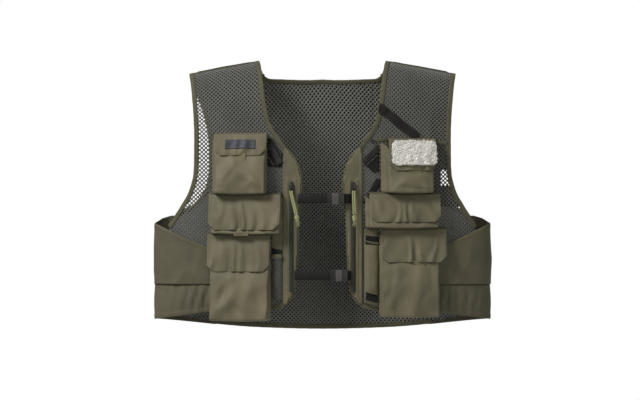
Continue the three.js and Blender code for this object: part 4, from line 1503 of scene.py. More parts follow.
class VEST_OT_plackets(VestStep, bpy.types.Operator):
    """The plackets of solid cloth with their zips and sliders"""

    bl_idname = "vest.plackets"
    bl_label = "Plackets and zips"

    def execute(self, context):
        for name, side in SIDES.items():
            self.placket(name, side)
            self.zip(name, side)
            self.slider(name, side)
        return {"FINISHED"}

    def placket(self, name, side):
        slant = ((PLACKET_OUTER, 318 * MM), (0.993, 0.117))
        bm = pattern((38 * MM, PLACKET_OUTER), (46 * MM, 352 * MM), 1.85 * MM, cuts=[slant], rows_cell=4 * MM)
        trim_outside(bm, front_outline(1), face_centres(bm))

        def place(x, z, _z):
            beside = np.abs(x - ZIP_X)
            welt = 1.5 * MM * np.exp(-(((beside - 7.2 * MM) / (3.2 * MM)) ** 2)) * (z < 284 * MM)
            edge = 0.6 * MM * (x > PLACKET_OUTER - 5 * MM)
            bare = on_face(side, x, z, np.zeros_like(x))
            ripple = 0.55 * MM * lumps(bare * (1, 1, 0.4), 9 * MM, 6 + side)
            return on_face(side, x, z, FIRST + 1.5 * MM + welt + edge + ripple)

        uprights = ((51, 72, 270), (66, 60, 312), (73, 60, 312))
        rows = [[(x * MM, low * MM), (x * MM, high * MM)] for x, low, high in uprights]
        across = [(49 * MM, 281 * MM), (70 * MM, 281 * MM)]
        obj = sewn_cloth(
            f"placket_cloth_{name}", bm, place, (0, -1, 0), look_named("cloth"), rows=[*rows, across])
        dress(obj, "vest", "shell_fabric", f"placket_{name}")

    def zip(self, name, side):
        bm = bmesh.new()
        low, high = (height / MM for height in ZIP_SPAN)
        track = front_track(side, [(ZIP_X, low * MM), (ZIP_X, high * MM)], SECOND + 0.2 * MM)
        add_swept(bm, track, rounded_bar(9.5 * MM, 0.8 * MM), material=1)
        add_coil(bm, track.shifted(0, 0.8 * MM))
        for height in (low - 1.5, high + 1.2):
            stop = Matrix.Translation(Vector(on_front(side, ZIP_X, SECOND + 1.1 * MM, height * MM)))
            shape = Matrix.Diagonal((5 * MM, 1.6 * MM, 3 * MM, 1))
            made = bmesh.ops.create_cube(bm, size=1, matrix=stop @ shape)
            edges = edges_of(made)
            bmesh.ops.bevel(
                bm, geom=edges, offset=0.5 * MM, segments=2, affect="EDGES", profile=0.5, material=-1)
        obj = object_from(bm, f"zip_coil_{name}", looks_named("coil", "zip_tape"))
        dress(obj, "vest", "zip_coil", f"zip_chain_{name}")

    def slider(self, name, side):
        """A spade-shaped slider body, its bridge and the wire loop that holds the cords."""
        bm = bmesh.new()
        low, high = slider_span(name)
        top_out = SECOND + 4.0 * MM
        half = [(4.2, 0), (4.5, 4), (3.6, 8.5), (4.4, 12.5)]
        outline = [*((-x, z) for x, z in half), (0, 13), *reversed(half)]
        verts = [bm.verts.new(on_front(side, ZIP_X + x * MM, top_out, low + z * MM)) for x, z in outline]
        face = bm.faces.new(verts)
        deep = bmesh.ops.extrude_face_region(bm, geom=[face])
        inward = Vector((-side * math.sin(TILT), math.cos(TILT), 0)) * 2.3 * MM
        moved_verts = [v for v in deep["geom"] if isinstance(v, bmesh.types.BMVert)]
        bmesh.ops.translate(bm, vec=inward, verts=moved_verts)
        bmesh.ops.recalc_face_normals(bm, faces=bm.faces[:])
        bmesh.ops.bevel(
            bm, geom=bm.edges[:], offset=0.55 * MM, segments=2, affect="EDGES", profile=0.5, material=-1)
        middle = (low + high) / 2
        arch = [(top_out - 0.3 * MM, high - 2 * MM), (top_out + 2.4 * MM, high - 3.5 * MM),
                (top_out + 3.0 * MM, middle), (top_out + 2.4 * MM, low + 1.5 * MM),
                (top_out - 0.3 * MM, low + 0.5 * MM)]
        line = smooth_line(arch, 0.8 * MM)
        points = on_front(side, ZIP_X, line[:, 0], line[:, 1])
        add_swept(bm, Track(points, np.tile((side * 1.0, 0.1, 0), (len(points), 1))),
                  rounded_bar(1.3 * MM, 2.6 * MM), cell=0.8 * MM)
        turns = np.linspace(0, 2 * math.pi, 29)
        ring = on_front(side, ZIP_X + 3.1 * MM * np.cos(turns), EYE_OUT - 1.2 * MM + 0 * turns,
                        low + 1.4 * MM + 2.6 * MM * np.sin(turns))
        forward = np.tile((0.0, -1.0, 0), (len(ring), 1))
        add_swept(bm, Track(ring, forward), round_section(0.65 * MM, 8), cell=0.7 * MM)
        obj = object_from(bm, f"slider_{name}", look_named("slider"))
        dress(obj, f"zip_pull_{name}", "zip_metal", f"zip_slider_{name}")


# ---------------------------------------------------------------- pockets and flaps

FLAP_GAP = 0.35 * MM  # between a pocket's front and its flap at rest
MOUTH_DROP = 16 * MM  # a pocket's front stops this far below the hinge
ROOT = 13 * MM  # how much of a flap's cloth runs from its hinge back to the vest
CORNER = 13 * MM  # how much of each lower corner of a flap is cut off


def eased(t):
    t = np.clip(t, 0, 1)
    return t * t * (3 - 2 * t)


def rounded_block(bm, half, radius, cuts):
    """Adds a block of half sizes with round edges, its faces closer together near them."""
    made = bmesh.ops.create_cube(bm, size=2)
    edges = edges_of(made)
    bmesh.ops.subdivide_edges(bm, edges=edges, cuts=cuts, use_grid_fill=True)
    half = np.array(half)
    for vert, point in zip(bm.verts, round_off(np.array([v.co for v in bm.verts]), half, radius)):
        vert.co = point


def round_off(cube, half, radius):
    """Points of a cube of half size 1, put on a block with round edges."""
    points = (cube + np.sin(cube * math.pi / 2)) / 2 * half
    core = np.clip(points, radius - half, half - radius)
    return core + unit(points - core) * radius


class Pocket:
    """One pocket's sizes, read off its CAD nodes. Across runs outwards over its front."""

    def __init__(self, level, name):
        self.level, self.label, self.side = level, f"{level}_{name}", SIDES[name]
        (self.inner, self.outer), (_, front), (self.foot, back_top) = spans(f"pocket_{self.label}", self.side)
        (self.flap_inner, self.flap_outer), _, (self.flap_foot, _) = spans(f"flap_{self.label}", self.side)
        (self.tab_inner, self.tab_outer) = spans(f"tab_{self.label}", self.side)[0]
        self.body = f"{level}_flap_{name}"
        self.top = back_top + 2 * MM
        self.slope = (front - SECOND - TOP_DEPTH) / (self.top - self.foot)
        self.lean = math.atan(self.slope)
        self.length = (self.top - self.flap_foot) / math.cos(self.lean)
        self.seed = 3 * LEVELS.index(level) + 10 * self.side
        self.front_inner = max(self.inner, self.flap_inner + 1 * MM)
        self.front_outer = min(self.outer, self.flap_outer) - 3 * MM

    def front_at(self, height):
        return SECOND + TOP_DEPTH + (self.top - height) * self.slope

    def share(self, across):
        return (across - self.front_inner) / (self.front_outer - self.front_inner)

    def belly(self, across, height):
        """How far the loaded front stands out."""
        a = np.clip(self.share(across), 0, 1)
        c = np.clip((height - self.foot) / (self.top - self.foot), 0, 1)
        depth = bpy.context.scene.vest_sizes.belly
        return depth * np.sin(math.pi * a) ** 0.6 * np.sin(math.pi * np.clip(c * 0.9 + 0.08, 0, 1)) ** 0.7

    def creases(self, a, c):
        """The listed folds of each pocket's front; a runs outwards and c upwards."""
        rise = np.zeros_like(a)
        for start, end, width, depth in POCKET_CREASES[self.label]:
            rise += 1.7 * depth * MM * crease(a, c, start, end, width * 1.25)
        return rise

    def skin(self, x, y, z):
        """A point of a cube of half size 1, put on the pocket: across, out and height."""
        depth, tall = self.front_at(self.foot) - SECOND, self.top + 14 * MM - self.foot
        half = np.array((self.outer - self.inner, depth, tall)) / 2
        a, b, c = (round_off(np.stack([x, y, z], axis=-1), half, 4.5 * MM) / half / 2 + 0.5).T
        height = self.foot + c * tall
        inner = self.inner + b * (self.front_inner - self.inner)
        outer = self.outer + b * (self.front_outer - self.outer)
        across = inner + a * (outer - inner)
        reach = np.clip(self.front_at(height) - SECOND, 6 * MM, None)
        on_front_wall = eased((b - 0.6) / 0.4)
        bare = np.stack([across, b * reach, height], axis=-1)
        below_flap = eased((self.flap_foot + 4 * MM - height) / (14 * MM))
        mouth = (height - self.foot) / (self.flap_foot - self.foot)
        rise = self.creases(a, mouth) + 1.1 * MM * lumps(bare, 26 * MM, self.seed)
        rise += 5.5 * MM * np.clip(ridged(bare * (1, 0.3, 0.7), 58 * MM, self.seed + 4), -0.4, 0.9)
        rise += 2.2 * MM * np.clip(ridged(bare, 38 * MM, self.seed + 1), -0.3, 1)
        edge = 0.5 * MM * (np.abs(a - 0.5) > 0.5 - 3.2 * MM / (outer - inner))
        out = SECOND + b * reach + on_front_wall * (self.belly(across, height) + rise * below_flap + edge)
        on_side = np.abs(2 * a - 1) ** 8
        pleat = np.exp(-(((b - 0.5) / 0.22) ** 2)) * eased((height - self.foot) / (18 * MM))
        give = 3.2 * MM * pleat - 1.2 * MM * lumps(bare, 18 * MM, self.seed + 2)
        across = across - np.sign(a - 0.5) * on_side * give
        sag = 1.6 * MM * np.sin(math.pi * a) * np.clip(1 - c * 6, 0, 1) * np.where(b > 0.5, 1, 0.3)
        return across, out, height - sag

    def on_flap(self, across, down, out):
        """Points a distance down from the flap's hinge and out from its plane."""
        outward = SECOND + TOP_DEPTH + FLAP_GAP + out * math.cos(self.lean) + down * math.sin(self.lean)
        height = self.top + out * math.sin(self.lean) - down * math.cos(self.lean)
        return on_front(self.side, across, outward, height)


# Each fold: its two ends as shares across and up the part below the flap, its width as a share and its depth
# in millimetres.
POCKET_CREASES = {
    "top_left": (
        ((0.04, 0.05), (0.4, 0.75), 0.07, 1.6), ((0.96, 0.05), (0.7, 0.5), 0.06, 1.8),
        ((0.1, 0.3), (0.9, 0.12), 0.06, -1.2),
    ),
    "middle_left": (((0.05, 0.1), (0.3, 0.9), 0.06, 1.5), ((0.95, 0.1), (0.75, 0.8), 0.06, 1.5)),
    "lower_left": (
        ((0.03, 0.04), (0.26, 0.5), 0.07, 2.2), ((0.97, 0.04), (0.72, 0.42), 0.07, 1.8),
        ((0.2, 0.95), (0.12, 0.3), 0.05, -1.6), ((0.85, 0.9), (0.9, 0.35), 0.05, -1.4),
        ((0.3, 0.7), (0.75, 0.3), 0.1, 1.2),
    ),
    "top_right": (
        ((0.04, 0.05), (0.34, 0.55), 0.06, 2.0), ((0.97, 0.05), (0.6, 0.8), 0.09, 2.2),
        ((0.55, 0.75), (0.86, 0.2), 0.05, -1.6), ((0.5, 0.1), (0.2, 0.35), 0.06, 1.0),
    ),
    "middle_right": (((0.05, 0.1), (0.2, 0.9), 0.06, 1.6), ((0.95, 0.1), (0.8, 0.9), 0.06, 1.8)),
    "lower_right": (
        ((0.97, 0.04), (0.5, 0.62), 0.08, 3.0), ((0.86, 0.6), (0.6, 0.98), 0.06, 2.4),
        ((0.7, 0.95), (0.82, 0.35), 0.05, -2.4), ((0.35, 0.05), (0.75, 0.5), 0.06, -1.8),
        ((0.04, 0.04), (0.32, 0.42), 0.07, 2.0), ((0.4, 0.9), (0.3, 0.4), 0.07, 1.4),
    ),
}


def each_pocket():
    return [Pocket(level, name) for name in SIDES for level in LEVELS]


class VEST_OT_pockets(VestStep, bpy.types.Operator):
    """The six box pockets, their mouths open under the flaps"""

    bl_idname = "vest.pockets"
    bl_label = "Pockets"

    def execute(self, context):
        for pocket in each_pocket():
            self.body(pocket, context.scene.vest_sizes.cloth_wall)
        return {"FINISHED"}

    def body(self, pocket, wall):
        bm = bmesh.new()
        bmesh.ops.create_cube(bm, size=2)
        bmesh.ops.subdivide_edges(bm, edges=bm.edges[:], cuts=38, use_grid_fill=True)
        cube = np.array([v.co for v in bm.verts])
        for vert, point in zip(bm.verts, np.stack(pocket.skin(*cube.T), axis=-1)):
            vert.co = point
        mouth = pocket.top - MOUTH_DROP
        drop, run = MOUTH_DROP - 2 * MM, pocket.front_at(mouth) - SECOND
        bmesh.ops.bisect_plane(
            bm, geom=bm.verts[:] + bm.edges[:] + bm.faces[:], dist=1e-6,
            plane_co=(0, SECOND, pocket.top - 2 * MM), plane_no=(0, drop, run), clear_outer=True)
        keep_uv(bm, lambda co: (co.x + co.y, co.z))
        moved(bm, lambda across, out, height: on_front(pocket.side, across, out, height))
        if pocket.side == LEFT:
            bmesh.ops.reverse_faces(bm, faces=bm.faces[:])
        outer = set(bm.faces)
        thicken(bm, wall)
        # The inner faces take the shaded cloth: painted shade inside the pocket.
        for face in bm.faces:
            face.material_index = 0 if face in outer else 2
        for row in self.rows():
            over = row_over(lambda a, c, _z: self.front(pocket, a, c), row, (0, -1, 0), spacing=0.03)
            add_stitches(bm, over)
        looks = looks_named("cloth", "thread", "dark_cloth")
        obj = object_from(bm, f"pocket_cloth_{pocket.label}", looks)
        dress(obj, "vest", "shell_fabric", f"pocket_{pocket.label}")

    def rows(self):
        return [[(side * 0.93, -0.9), (side * 0.93, 0.5)] for side in (-1, 1)]

    def front(self, pocket, x, z):
        across, out, height = pocket.skin(x, np.ones_like(x), z)
        return on_front(pocket.side, across, out, height)


def flap_rise(pocket, across, down):
    """How far a flap's outer face stands from its plane."""
    height = pocket.top - down * math.cos(pocket.lean)
    share = np.clip(down / pocket.length, 0, 1)
    tab = (pocket.tab_inner + pocket.tab_outer) / 2
    width = pocket.flap_outer - pocket.flap_inner
    bare = np.stack([across, 0 * across, height * 0.6], axis=-1)
    wander = 1 + 2.2 * lumps(bare, 34 * MM, pocket.seed + 9)
    folds = np.sin(2 * math.pi * (across - tab) / (19 * MM) + pocket.seed + 2 * wander) * wander
    folds *= np.exp(-(((across - tab) / width / 0.27) ** 2))
    folds += 0.8 * np.sin(2 * math.pi * (across - tab) / (41 * MM) + 2 * pocket.seed + 3 * wander)
    soft = 1.3 * MM * lumps(bare, 30 * MM, pocket.seed + 5)
    soft += 1.0 * MM * ridged(bare, 40 * MM, pocket.seed + 6)
    beside = np.abs(across - (pocket.flap_inner + pocket.flap_outer) / 2) / width
    flare = 1.6 * MM * eased((beside - 0.36) / 0.14)
    pucker = bpy.context.scene.vest_sizes.flap_pucker
    swell = pocket.belly(across, height) * eased(share * 2.5)
    return 2.6 * MM + swell + pucker * folds * share**1.1 * 0.75 + soft * eased(share * 4) + flare * share**2


class VEST_OT_flaps(VestStep, bpy.types.Operator):
    """The flaps, which bend where they are sewn on, and the pull tabs under them"""

    bl_idname = "vest.flaps"
    bl_label = "Flaps and tabs"

    def execute(self, context):
        for pocket in each_pocket():
            self.flap(pocket)
            self.tab(pocket)
        return {"FINISHED"}

    def place_flap(self, pocket, x, y):
        """Below y = 0 the flap hangs from its hinge; above, it runs back to where it is sewn on."""
        points = pocket.on_flap(x, np.clip(-y, 0, None), flap_rise(pocket, x, np.clip(-y, 0, None)))
        t = np.clip(y / ROOT, 0, 1)
        hinge = SECOND + TOP_DEPTH + FLAP_GAP
        start, middle, end = (
            (hinge + 2.3 * MM, pocket.top), (hinge + 1.4 * MM, pocket.top + 4.6 * MM),
            (4 * MM, pocket.top + 5.5 * MM))
        bends = zip(start, middle, end)
        out, height = ((1 - t) ** 2 * a + 2 * t * (1 - t) * b + t**2 * c for a, b, c in bends)
        return np.where((y > 0)[:, None], on_front(pocket.side, x, out, height), points)

    def flap(self, pocket):
        x0, x1, low = pocket.flap_inner, pocket.flap_outer, -pocket.length
        corners = (((x0 + CORNER, low), (-1, -1)), ((x1 - CORNER, low), (1, -1)))
        bm = pattern((x0, x1), (low, ROOT), 1.7 * MM, cuts=corners)
        # On the lower flaps the root faces take the shaded cloth: a painted shadow under the pocket above.
        if pocket.level != "top":
            for face in bm.faces:
                face.material_index = 2 if face.calc_center_median().y > 1.5 * MM else 0
        inset, slant = 4 * MM, CORNER + 1.6 * MM
        row = [(x0 + inset, -3 * MM), (x0 + inset, low + slant), (x0 + slant, low + inset),
               (x1 - slant, low + inset), (x1 - inset, low + slant), (x1 - inset, -3 * MM)]
        top_row = [(x0 + 2 * MM, 3 * MM), (x1 - 2 * MM, 3 * MM)]
        # The flap's underside takes the shaded cloth: painted shade.
        obj = sewn_cloth(
            f"flap_cloth_{pocket.label}", bm, lambda x, y, _z: self.place_flap(pocket, x, y),
            (0, -1, 0), look_named("cloth"), wall=1.3 * MM, lining=look_named("dark_cloth"),
            rows=[row, top_row])
        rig.slot(obj, "shell_fabric")
        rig.replaces(obj, f"flap_{pocket.label}")
        middle = (x0 + x1) / 2
        hinge = SECOND + TOP_DEPTH + FLAP_GAP
        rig.blend(
            obj, "vest", pocket.body,
            start=on_front(pocket.side, middle, 4 * MM, pocket.top + 5 * MM),
            end=on_front(pocket.side, middle, hinge + 1 * MM, pocket.top - 2 * MM))
        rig.sheet(
            obj, flat=(x1 - x0, pocket.length + ROOT), held="hung", rests_on=[f"pocket_cloth_{pocket.label}"])

    def tab(self, pocket):
        """A folded tape that sticks out under the flap, sewn down with a small box."""
        low = -pocket.length - 11 * MM
        bm = pattern((pocket.tab_inner, pocket.tab_outer), (low, -pocket.length + 4 * MM), 1.3 * MM)
        middle = (pocket.tab_inner + pocket.tab_outer) / 2

        def place(x, y, _z):
            edge = flap_rise(pocket, np.full_like(x, middle), np.full_like(x, pocket.length))
            fold = 0.5 * MM * (np.abs(y - low - 5 * MM) < 4 * MM)
            drop = np.clip(-pocket.length - y, 0, None) * 0.08
            return pocket.on_flap(x, -y, edge - 1.2 * MM + fold - drop)

        x0, x1 = pocket.tab_inner + 3 * MM, pocket.tab_outer - 3 * MM
        foot, head = low + 2 * MM, low + 8 * MM
        box = [(x0, foot), (x1, foot), (x1, head), (x0, head), (x0, foot)]
        obj = sewn_cloth(
            f"tab_tape_{pocket.label}", bm, place, (0, -1, 0), look_named("tab"), wall=1.6 * MM, rows=[box])
        dress(obj, pocket.body, "shell_fabric", f"tab_{pocket.label}")


# ---------------------------------------------------------------- patches on the chest flaps


class VEST_OT_patches(VestStep, bpy.types.Operator):
    """The curly fleece fly patch and a plain woven label"""

    bl_idname = "vest.patches"
    bl_label = "Fleece and label"

    def execute(self, context):
        self.fleece(Pocket("top", "left"), context.scene.vest_sizes.tufts)
        self.label(Pocket("top", "right"))
        return {"FINISHED"}

    def fleece(self, pocket, tufts):
        across = spans("fleece_patch", LEFT)[0]
        high, low = 1 * MM, 47 * MM
        middle = (sum(across) / 2, (high + low) / 2)
        half = ((across[1] - across[0]) / 2, (low - high) / 2, 2.6 * MM)
        bm = bmesh.new()
        rounded_block(bm, half, 2.4 * MM, 34)
        corner = 9 * MM

        def past_corner(x, y):
            return Vector((max(abs(x) - half[0] + corner, 0), max(abs(y) - half[1] + corner, 0)))

        for vert in bm.verts:
            past = past_corner(vert.co.x, vert.co.y)
            if past.length > corner:
                give = past * (1 - corner / past.length)
                vert.co.x -= math.copysign(give.x, vert.co.x)
                vert.co.y -= math.copysign(give.y, vert.co.y)
        keep_uv(bm)

        def place(x, y, z):
            bare = np.stack([x, y, z], axis=-1)
            bulge = 0.9 * MM * lumps(bare, 9 * MM, 4) + 1.0 * MM * lumps(bare, 4 * MM, 5)
            wander = 1.2 * MM * lumps(bare, 6 * MM, 9)
            across, down = middle[0] + x * (1 + wander / half[0]), middle[1] - y - wander
            out = flap_rise(pocket, across, down) + 2.1 * MM + z + np.where(z > 0, bulge, 0)
            return pocket.on_flap(across, down, out)

        moved(bm, place)
        bmesh.ops.recalc_face_normals(bm, faces=bm.faces[:])
        chance = random.Random(7)
        curl = self.curl()
        for _ in range(tufts):
            x, y = chance.uniform(-1, 1) * (half[0] + 0.8 * MM), chance.uniform(-1, 1) * (half[1] + 0.8 * MM)
            if past_corner(x, y).length > corner + 0.4 * MM:
                continue
            depth = half[2] - chance.uniform(0.2, 1.2) * MM
            point = place(np.array([x]), np.array([y]), np.array([depth]))[0]
            angle = chance.uniform(0, 6.3)
            axis = (chance.uniform(-1, 1), chance.uniform(-1, 1), 0.6)
            turn = Matrix.Rotation(angle, 4, axis)
            copy = curl.copy()
            size = Matrix.Scale(chance.uniform(1.0, 1.9) * MM, 4)
            copy.transform(Matrix.Translation(Vector(point)) @ turn @ size)
            bm.from_mesh(copy)
            bpy.data.meshes.remove(copy)
        bpy.data.meshes.remove(curl)
        obj = object_from(bm, "fleece_pad", look_named("fleece"))
        dress(obj, pocket.body, "fleece", "fleece_patch")
        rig.padded(obj, fill=0.6)

    def curl(self):
        """One curl of wool, about two units across."""
        turns = np.linspace(0, 4.6, 9)
        points = np.stack([np.cos(turns), np.sin(turns), turns * 0.28 - 0.5], axis=-1)
        bm = bmesh.new()
        add_swept(bm, Track(points, np.tile((0.05, 0.02, 1.0), (9, 1))), round_section(0.34, 4), cell=0.62)
        mesh = bpy.data.meshes.new("curl")
        bm.to_mesh(mesh)
        bm.free()
        return mesh

    def label(self, pocket):
        x0, x1 = spans("label_patch", RIGHT)[0]
        high, low = -8 * MM, -25 * MM
        bm = pattern((x0, x1), (low, high), 1.4 * MM)

        def place(x, y, _z):
            edge = np.minimum(np.minimum(x - x0, x1 - x), np.minimum(y - low, high - y))
            hem = 0.35 * MM * (edge < 2.2 * MM)
            return pocket.on_flap(x, -y, flap_rise(pocket, x, -y) + 1.1 * MM + hem)

        inset = 1.2 * MM
        row = [(x0 + inset, low + inset), (x1 - inset, low + inset), (x1 - inset, high - inset),
               (x0 + inset, high - inset), (x0 + inset, low + inset)]
        obj = sewn_cloth("label", bm, place, (0, -1, 0), look_named("label"), wall=1.2 * MM,
                         rows=[row], thread="label_thread")
        dress(obj, pocket.body, "label_cloth", "label_patch")


# ---------------------------------------------------------------- tool holders on the fronts


def trimmed_pattern(corners, cell):
    """The flat pattern of a convex outline whose corners run anticlockwise."""
    x, y = zip(*corners)
    cuts = [((ax, ay), (by - ay, ax - bx)) for (ax, ay), (bx, by) in zip(corners, [*corners[1:], corners[0]])]
    return pattern((min(x), max(x)), (min(y), max(y)), cell, cuts=cuts)


def in_metres(corners):
    return [(x * MM, z * MM) for x, z in corners]


class VEST_OT_holders(VestStep, bpy.types.Operator):
    """Tool docks, the tool sleeve, the small mesh pouch and the shoulder strap"""

    bl_idname = "vest.holders"
    bl_label = "Tool holders"

    def execute(self, context):
        self.docks()
        self.shoulder_strap()
        self.sleeve()
        self.pouch()
        return {"FINISHED"}

    def patch(self, name, side, corners, out, look, wall=1.2 * MM, cell=2.2 * MM, bulge=0.0, rows=()):
        corners = in_metres(corners)
        x, z = np.array(corners).T
        middle = ((x.min() + x.max()) / 2, (z.min() + z.max()) / 2)
        half = ((x.max() - x.min()) / 2, (z.max() - z.min()) / 2)

        def place(across, height, _z):
            round_off_x = np.clip(1 - np.abs((across - middle[0]) / half[0]) ** 3, 0, 1)
            round_off_z = np.clip(1 - np.abs((height - middle[1]) / half[1]) ** 8, 0, 1)
            bare = np.stack([across, height, 0 * across], axis=-1)
            return on_front(side, across, out + bulge * round_off_x * round_off_z
                            + 0.5 * MM * lumps(bare, 14 * MM, out * 900), height)

        return sewn_cloth(name, trimmed_pattern(corners, cell), place, (0, -1, 0), look_named(look), wall=wall,
                          rows=[in_metres(row) for row in rows])

    def strip(self, bm, side, corners, out, width, thick=1.8 * MM, material=0):
        add_swept(bm, face_track(side, corners, out), rounded_bar(width, thick), cell=2 * MM, material=material)

    def docks(self):
        left = ((79, 312), (100, 296), (108, 300), (108, 346), (104, 350), (79, 326))
        right = ((77, 308), (105, 308), (105, 362), (96, 362), (77, 334))
        seam = ((81, 314), (81, 324), (103, 346))
        obj = self.patch("dock_patch_left", LEFT, left, 3.9 * MM, "webbing", rows=[seam])
        dress(obj, "vest", "webbing", "tool_dock_left")
        seam = ((79, 311), (79, 333), (96, 359))
        obj = self.patch("dock_patch_right", RIGHT, right, 3.9 * MM, "webbing", rows=[seam])
        dress(obj, "vest", "webbing", "tool_dock_right")
        bm = bmesh.new()
        self.strip(bm, LEFT, ((80, 318), (106, 343)), 5.3 * MM, 11 * MM, material=2)
        self.strip(bm, RIGHT, ((79, 314), (103, 352)), 5.3 * MM, 13 * MM, material=2)
        self.strip(bm, LEFT, ((82, 238), (108, 284)), 3.8 * MM, 13 * MM)
        for side, ends in ((LEFT, ((84, 312), (104, 331))), (RIGHT, ((92, 310), (104, 330)))):
            add_stitches(bm, face_track(side, ends, 6.0 * MM))
        self.eyelet(bm)
        looks = looks_named("webbing", "pale_thread", "grey_webbing")
        dress(object_from(bm, "dock_bands", looks), "vest", "webbing")

    def eyelet(self, bm):
        """The dark ring beside the left chest pocket's seam."""
        turns = np.linspace(0, 2 * math.pi, 25)
        across, height = 96 * MM + 2.8 * MM * np.cos(turns), 356 * MM + 2.8 * MM * np.sin(turns)
        ring = on_front(LEFT, across, 5 * MM + 0 * turns, height)
        normals = np.tile((math.sin(TILT), -math.cos(TILT), 0), (len(turns), 1))
        add_swept(bm, Track(ring, normals), rounded_bar(2 * MM, 1.2 * MM), cell=1 * MM)

    def shoulder_strap(self):
        bm = bmesh.new()
        corners = ((106, 420), (113, 418), (123, 410), (152, 387), (181, 364))
        flat_line = smooth_line(in_metres(corners), 2.5 * MM)
        x, z = flat_line.T
        turn = turn_at(x, z, -1)
        over_binding = eased((125 * MM - x) / (9 * MM))
        out = 3.5 * MM + 2.2 * MM * over_binding + 0.6 * MM * np.sin(x * 150)
        track = Track(on_shell(x, turn, out), shell_normal(x, turn))
        add_swept(bm, track, rounded_bar(17.5 * MM, 1.9 * MM), cell=2 * MM)
        for across in (-7 * MM, 7 * MM):
            add_stitches(bm, track.shifted(across, 1.0 * MM))
        end = face_track(LEFT, ((176, 360), (187, 372)), 4.7 * MM)
        add_stitches(bm, end)
        dress(object_from(bm, "shoulder_webbing", looks_named("webbing", "dark_thread")),
              "vest", "webbing", "shoulder_strap_left")

    def sleeve(self):
        """An olive sleeve between two dark slots, with a narrow band over the upper one."""
        backing = ((79.5, 48), (106, 48), (106, 190), (79.5, 190))
        dress(self.patch("sleeve_backing", LEFT, backing, 3.8 * MM, "cloth"), "vest", "shell_fabric")
        for name, corners in (("upper", ((81, 159), (107, 162), (107, 175), (83, 177))),
                              ("lower", ((82, 56), (104, 50), (106, 66), (84, 72)))):
            dress(self.patch(f"sleeve_slot_{name}", LEFT, corners, 5.2 * MM, "webbing"), "vest", "webbing")
        panel = ((80, 70), (106, 63), (107, 158), (80, 161))
        rows = [((82, 73), (82, 158), (105, 155.5)), ((83, 74), (104.5, 68))]
        obj = self.patch("sleeve_panel", LEFT, panel, 6.6 * MM, "cloth", bulge=3.6 * MM, rows=rows)
        dress(obj, "vest", "shell_fabric", "tool_sleeve_left")
        bm = bmesh.new()
        for corners in (((79, 167), (90, 164), (107, 162)), ((80, 51), (92, 47), (106, 47))):
            self.strip(bm, LEFT, corners, 7.4 * MM, 4.5 * MM)
        dress(object_from(bm, "sleeve_bands", [look_named("binding")]), "vest", "binding_tape")

    def pouch(self):
        """A small pouch of mesh with a taped mouth, under a panel of cloth."""
        backing = ((76, 140), (97, 140), (97, 250), (76, 250))
        obj = self.patch("pouch_backing", RIGHT, backing, 4.0 * MM, "cloth", rows=[((78, 142), (78, 248))])
        dress(obj, "vest", "shell_fabric")
        slot = ((77, 140), (97, 140), (97, 153), (77, 150))
        dress(self.patch("pouch_slot", RIGHT, slot, 5.0 * MM, "webbing"), "vest", "webbing")
        x_span, z_span = (76.5 * MM, 97 * MM), (54 * MM, 141 * MM)

        def place(x, z, out):
            a = (x - x_span[0]) / (x_span[1] - x_span[0])
            c = (z - z_span[0]) / (z_span[1] - z_span[0])
            bulge = 6 * MM * np.sin(math.pi * np.clip(a, 0, 1)) ** 0.5 * np.clip(c * 6, 0, 1) ** 0.5
            return on_front(RIGHT, x, out + FIRST + 1.2 * MM + bulge, z)

        # The pouch takes the darker front mesh look: painted shade.
        obj = net_cloth("pouch_net", x_span, z_span, lambda x, z: x > 0, place, "front_mesh", scale=0.62)
        dress(obj, "vest", "mesh_fabric", "mesh_pouch_right")
        bm = bmesh.new()
        self.strip(bm, RIGHT, ((76, 137), (82, 137.5), (97, 137)), 9.4 * MM, 8.5 * MM)
        dress(object_from(bm, "pouch_mouth", [look_named("binding")]), "vest", "binding_tape")


# ---------------------------------------------------------------- straps and buckles

STRAPS = {
    "chest": {"height": 247.5 * MM, "socket_end": 41 * MM, "right_end": -46 * MM, "bend": -26 * MM},
    "waist": {"height": 101.5 * MM, "socket_end": 47.5 * MM, "right_end": -53 * MM, "bend": -28 * MM},
}
STRAP_OUT = 5.7 * MM
SOCKET = 22.6 * MM


def add_block(bm, middle, size, bevel=0.6 * MM, material=0):
    """Adds a block with round edges, placed from the middle of the vest's front."""
    centre = Vector(HOME) + Vector(middle)
    made = bmesh.ops.create_cube(bm, size=1, matrix=Matrix.Translation(centre) @ Matrix.Diagonal((*size, 1)))
    edges = edges_of(made)
    done = bmesh.ops.bevel(
        bm, geom=edges, offset=bevel, segments=3, affect="EDGES", profile=0.5, material=-1)
    for face in done["faces"]:
        face.smooth = True
    for face in faces_of(done):
        face.material_index = material


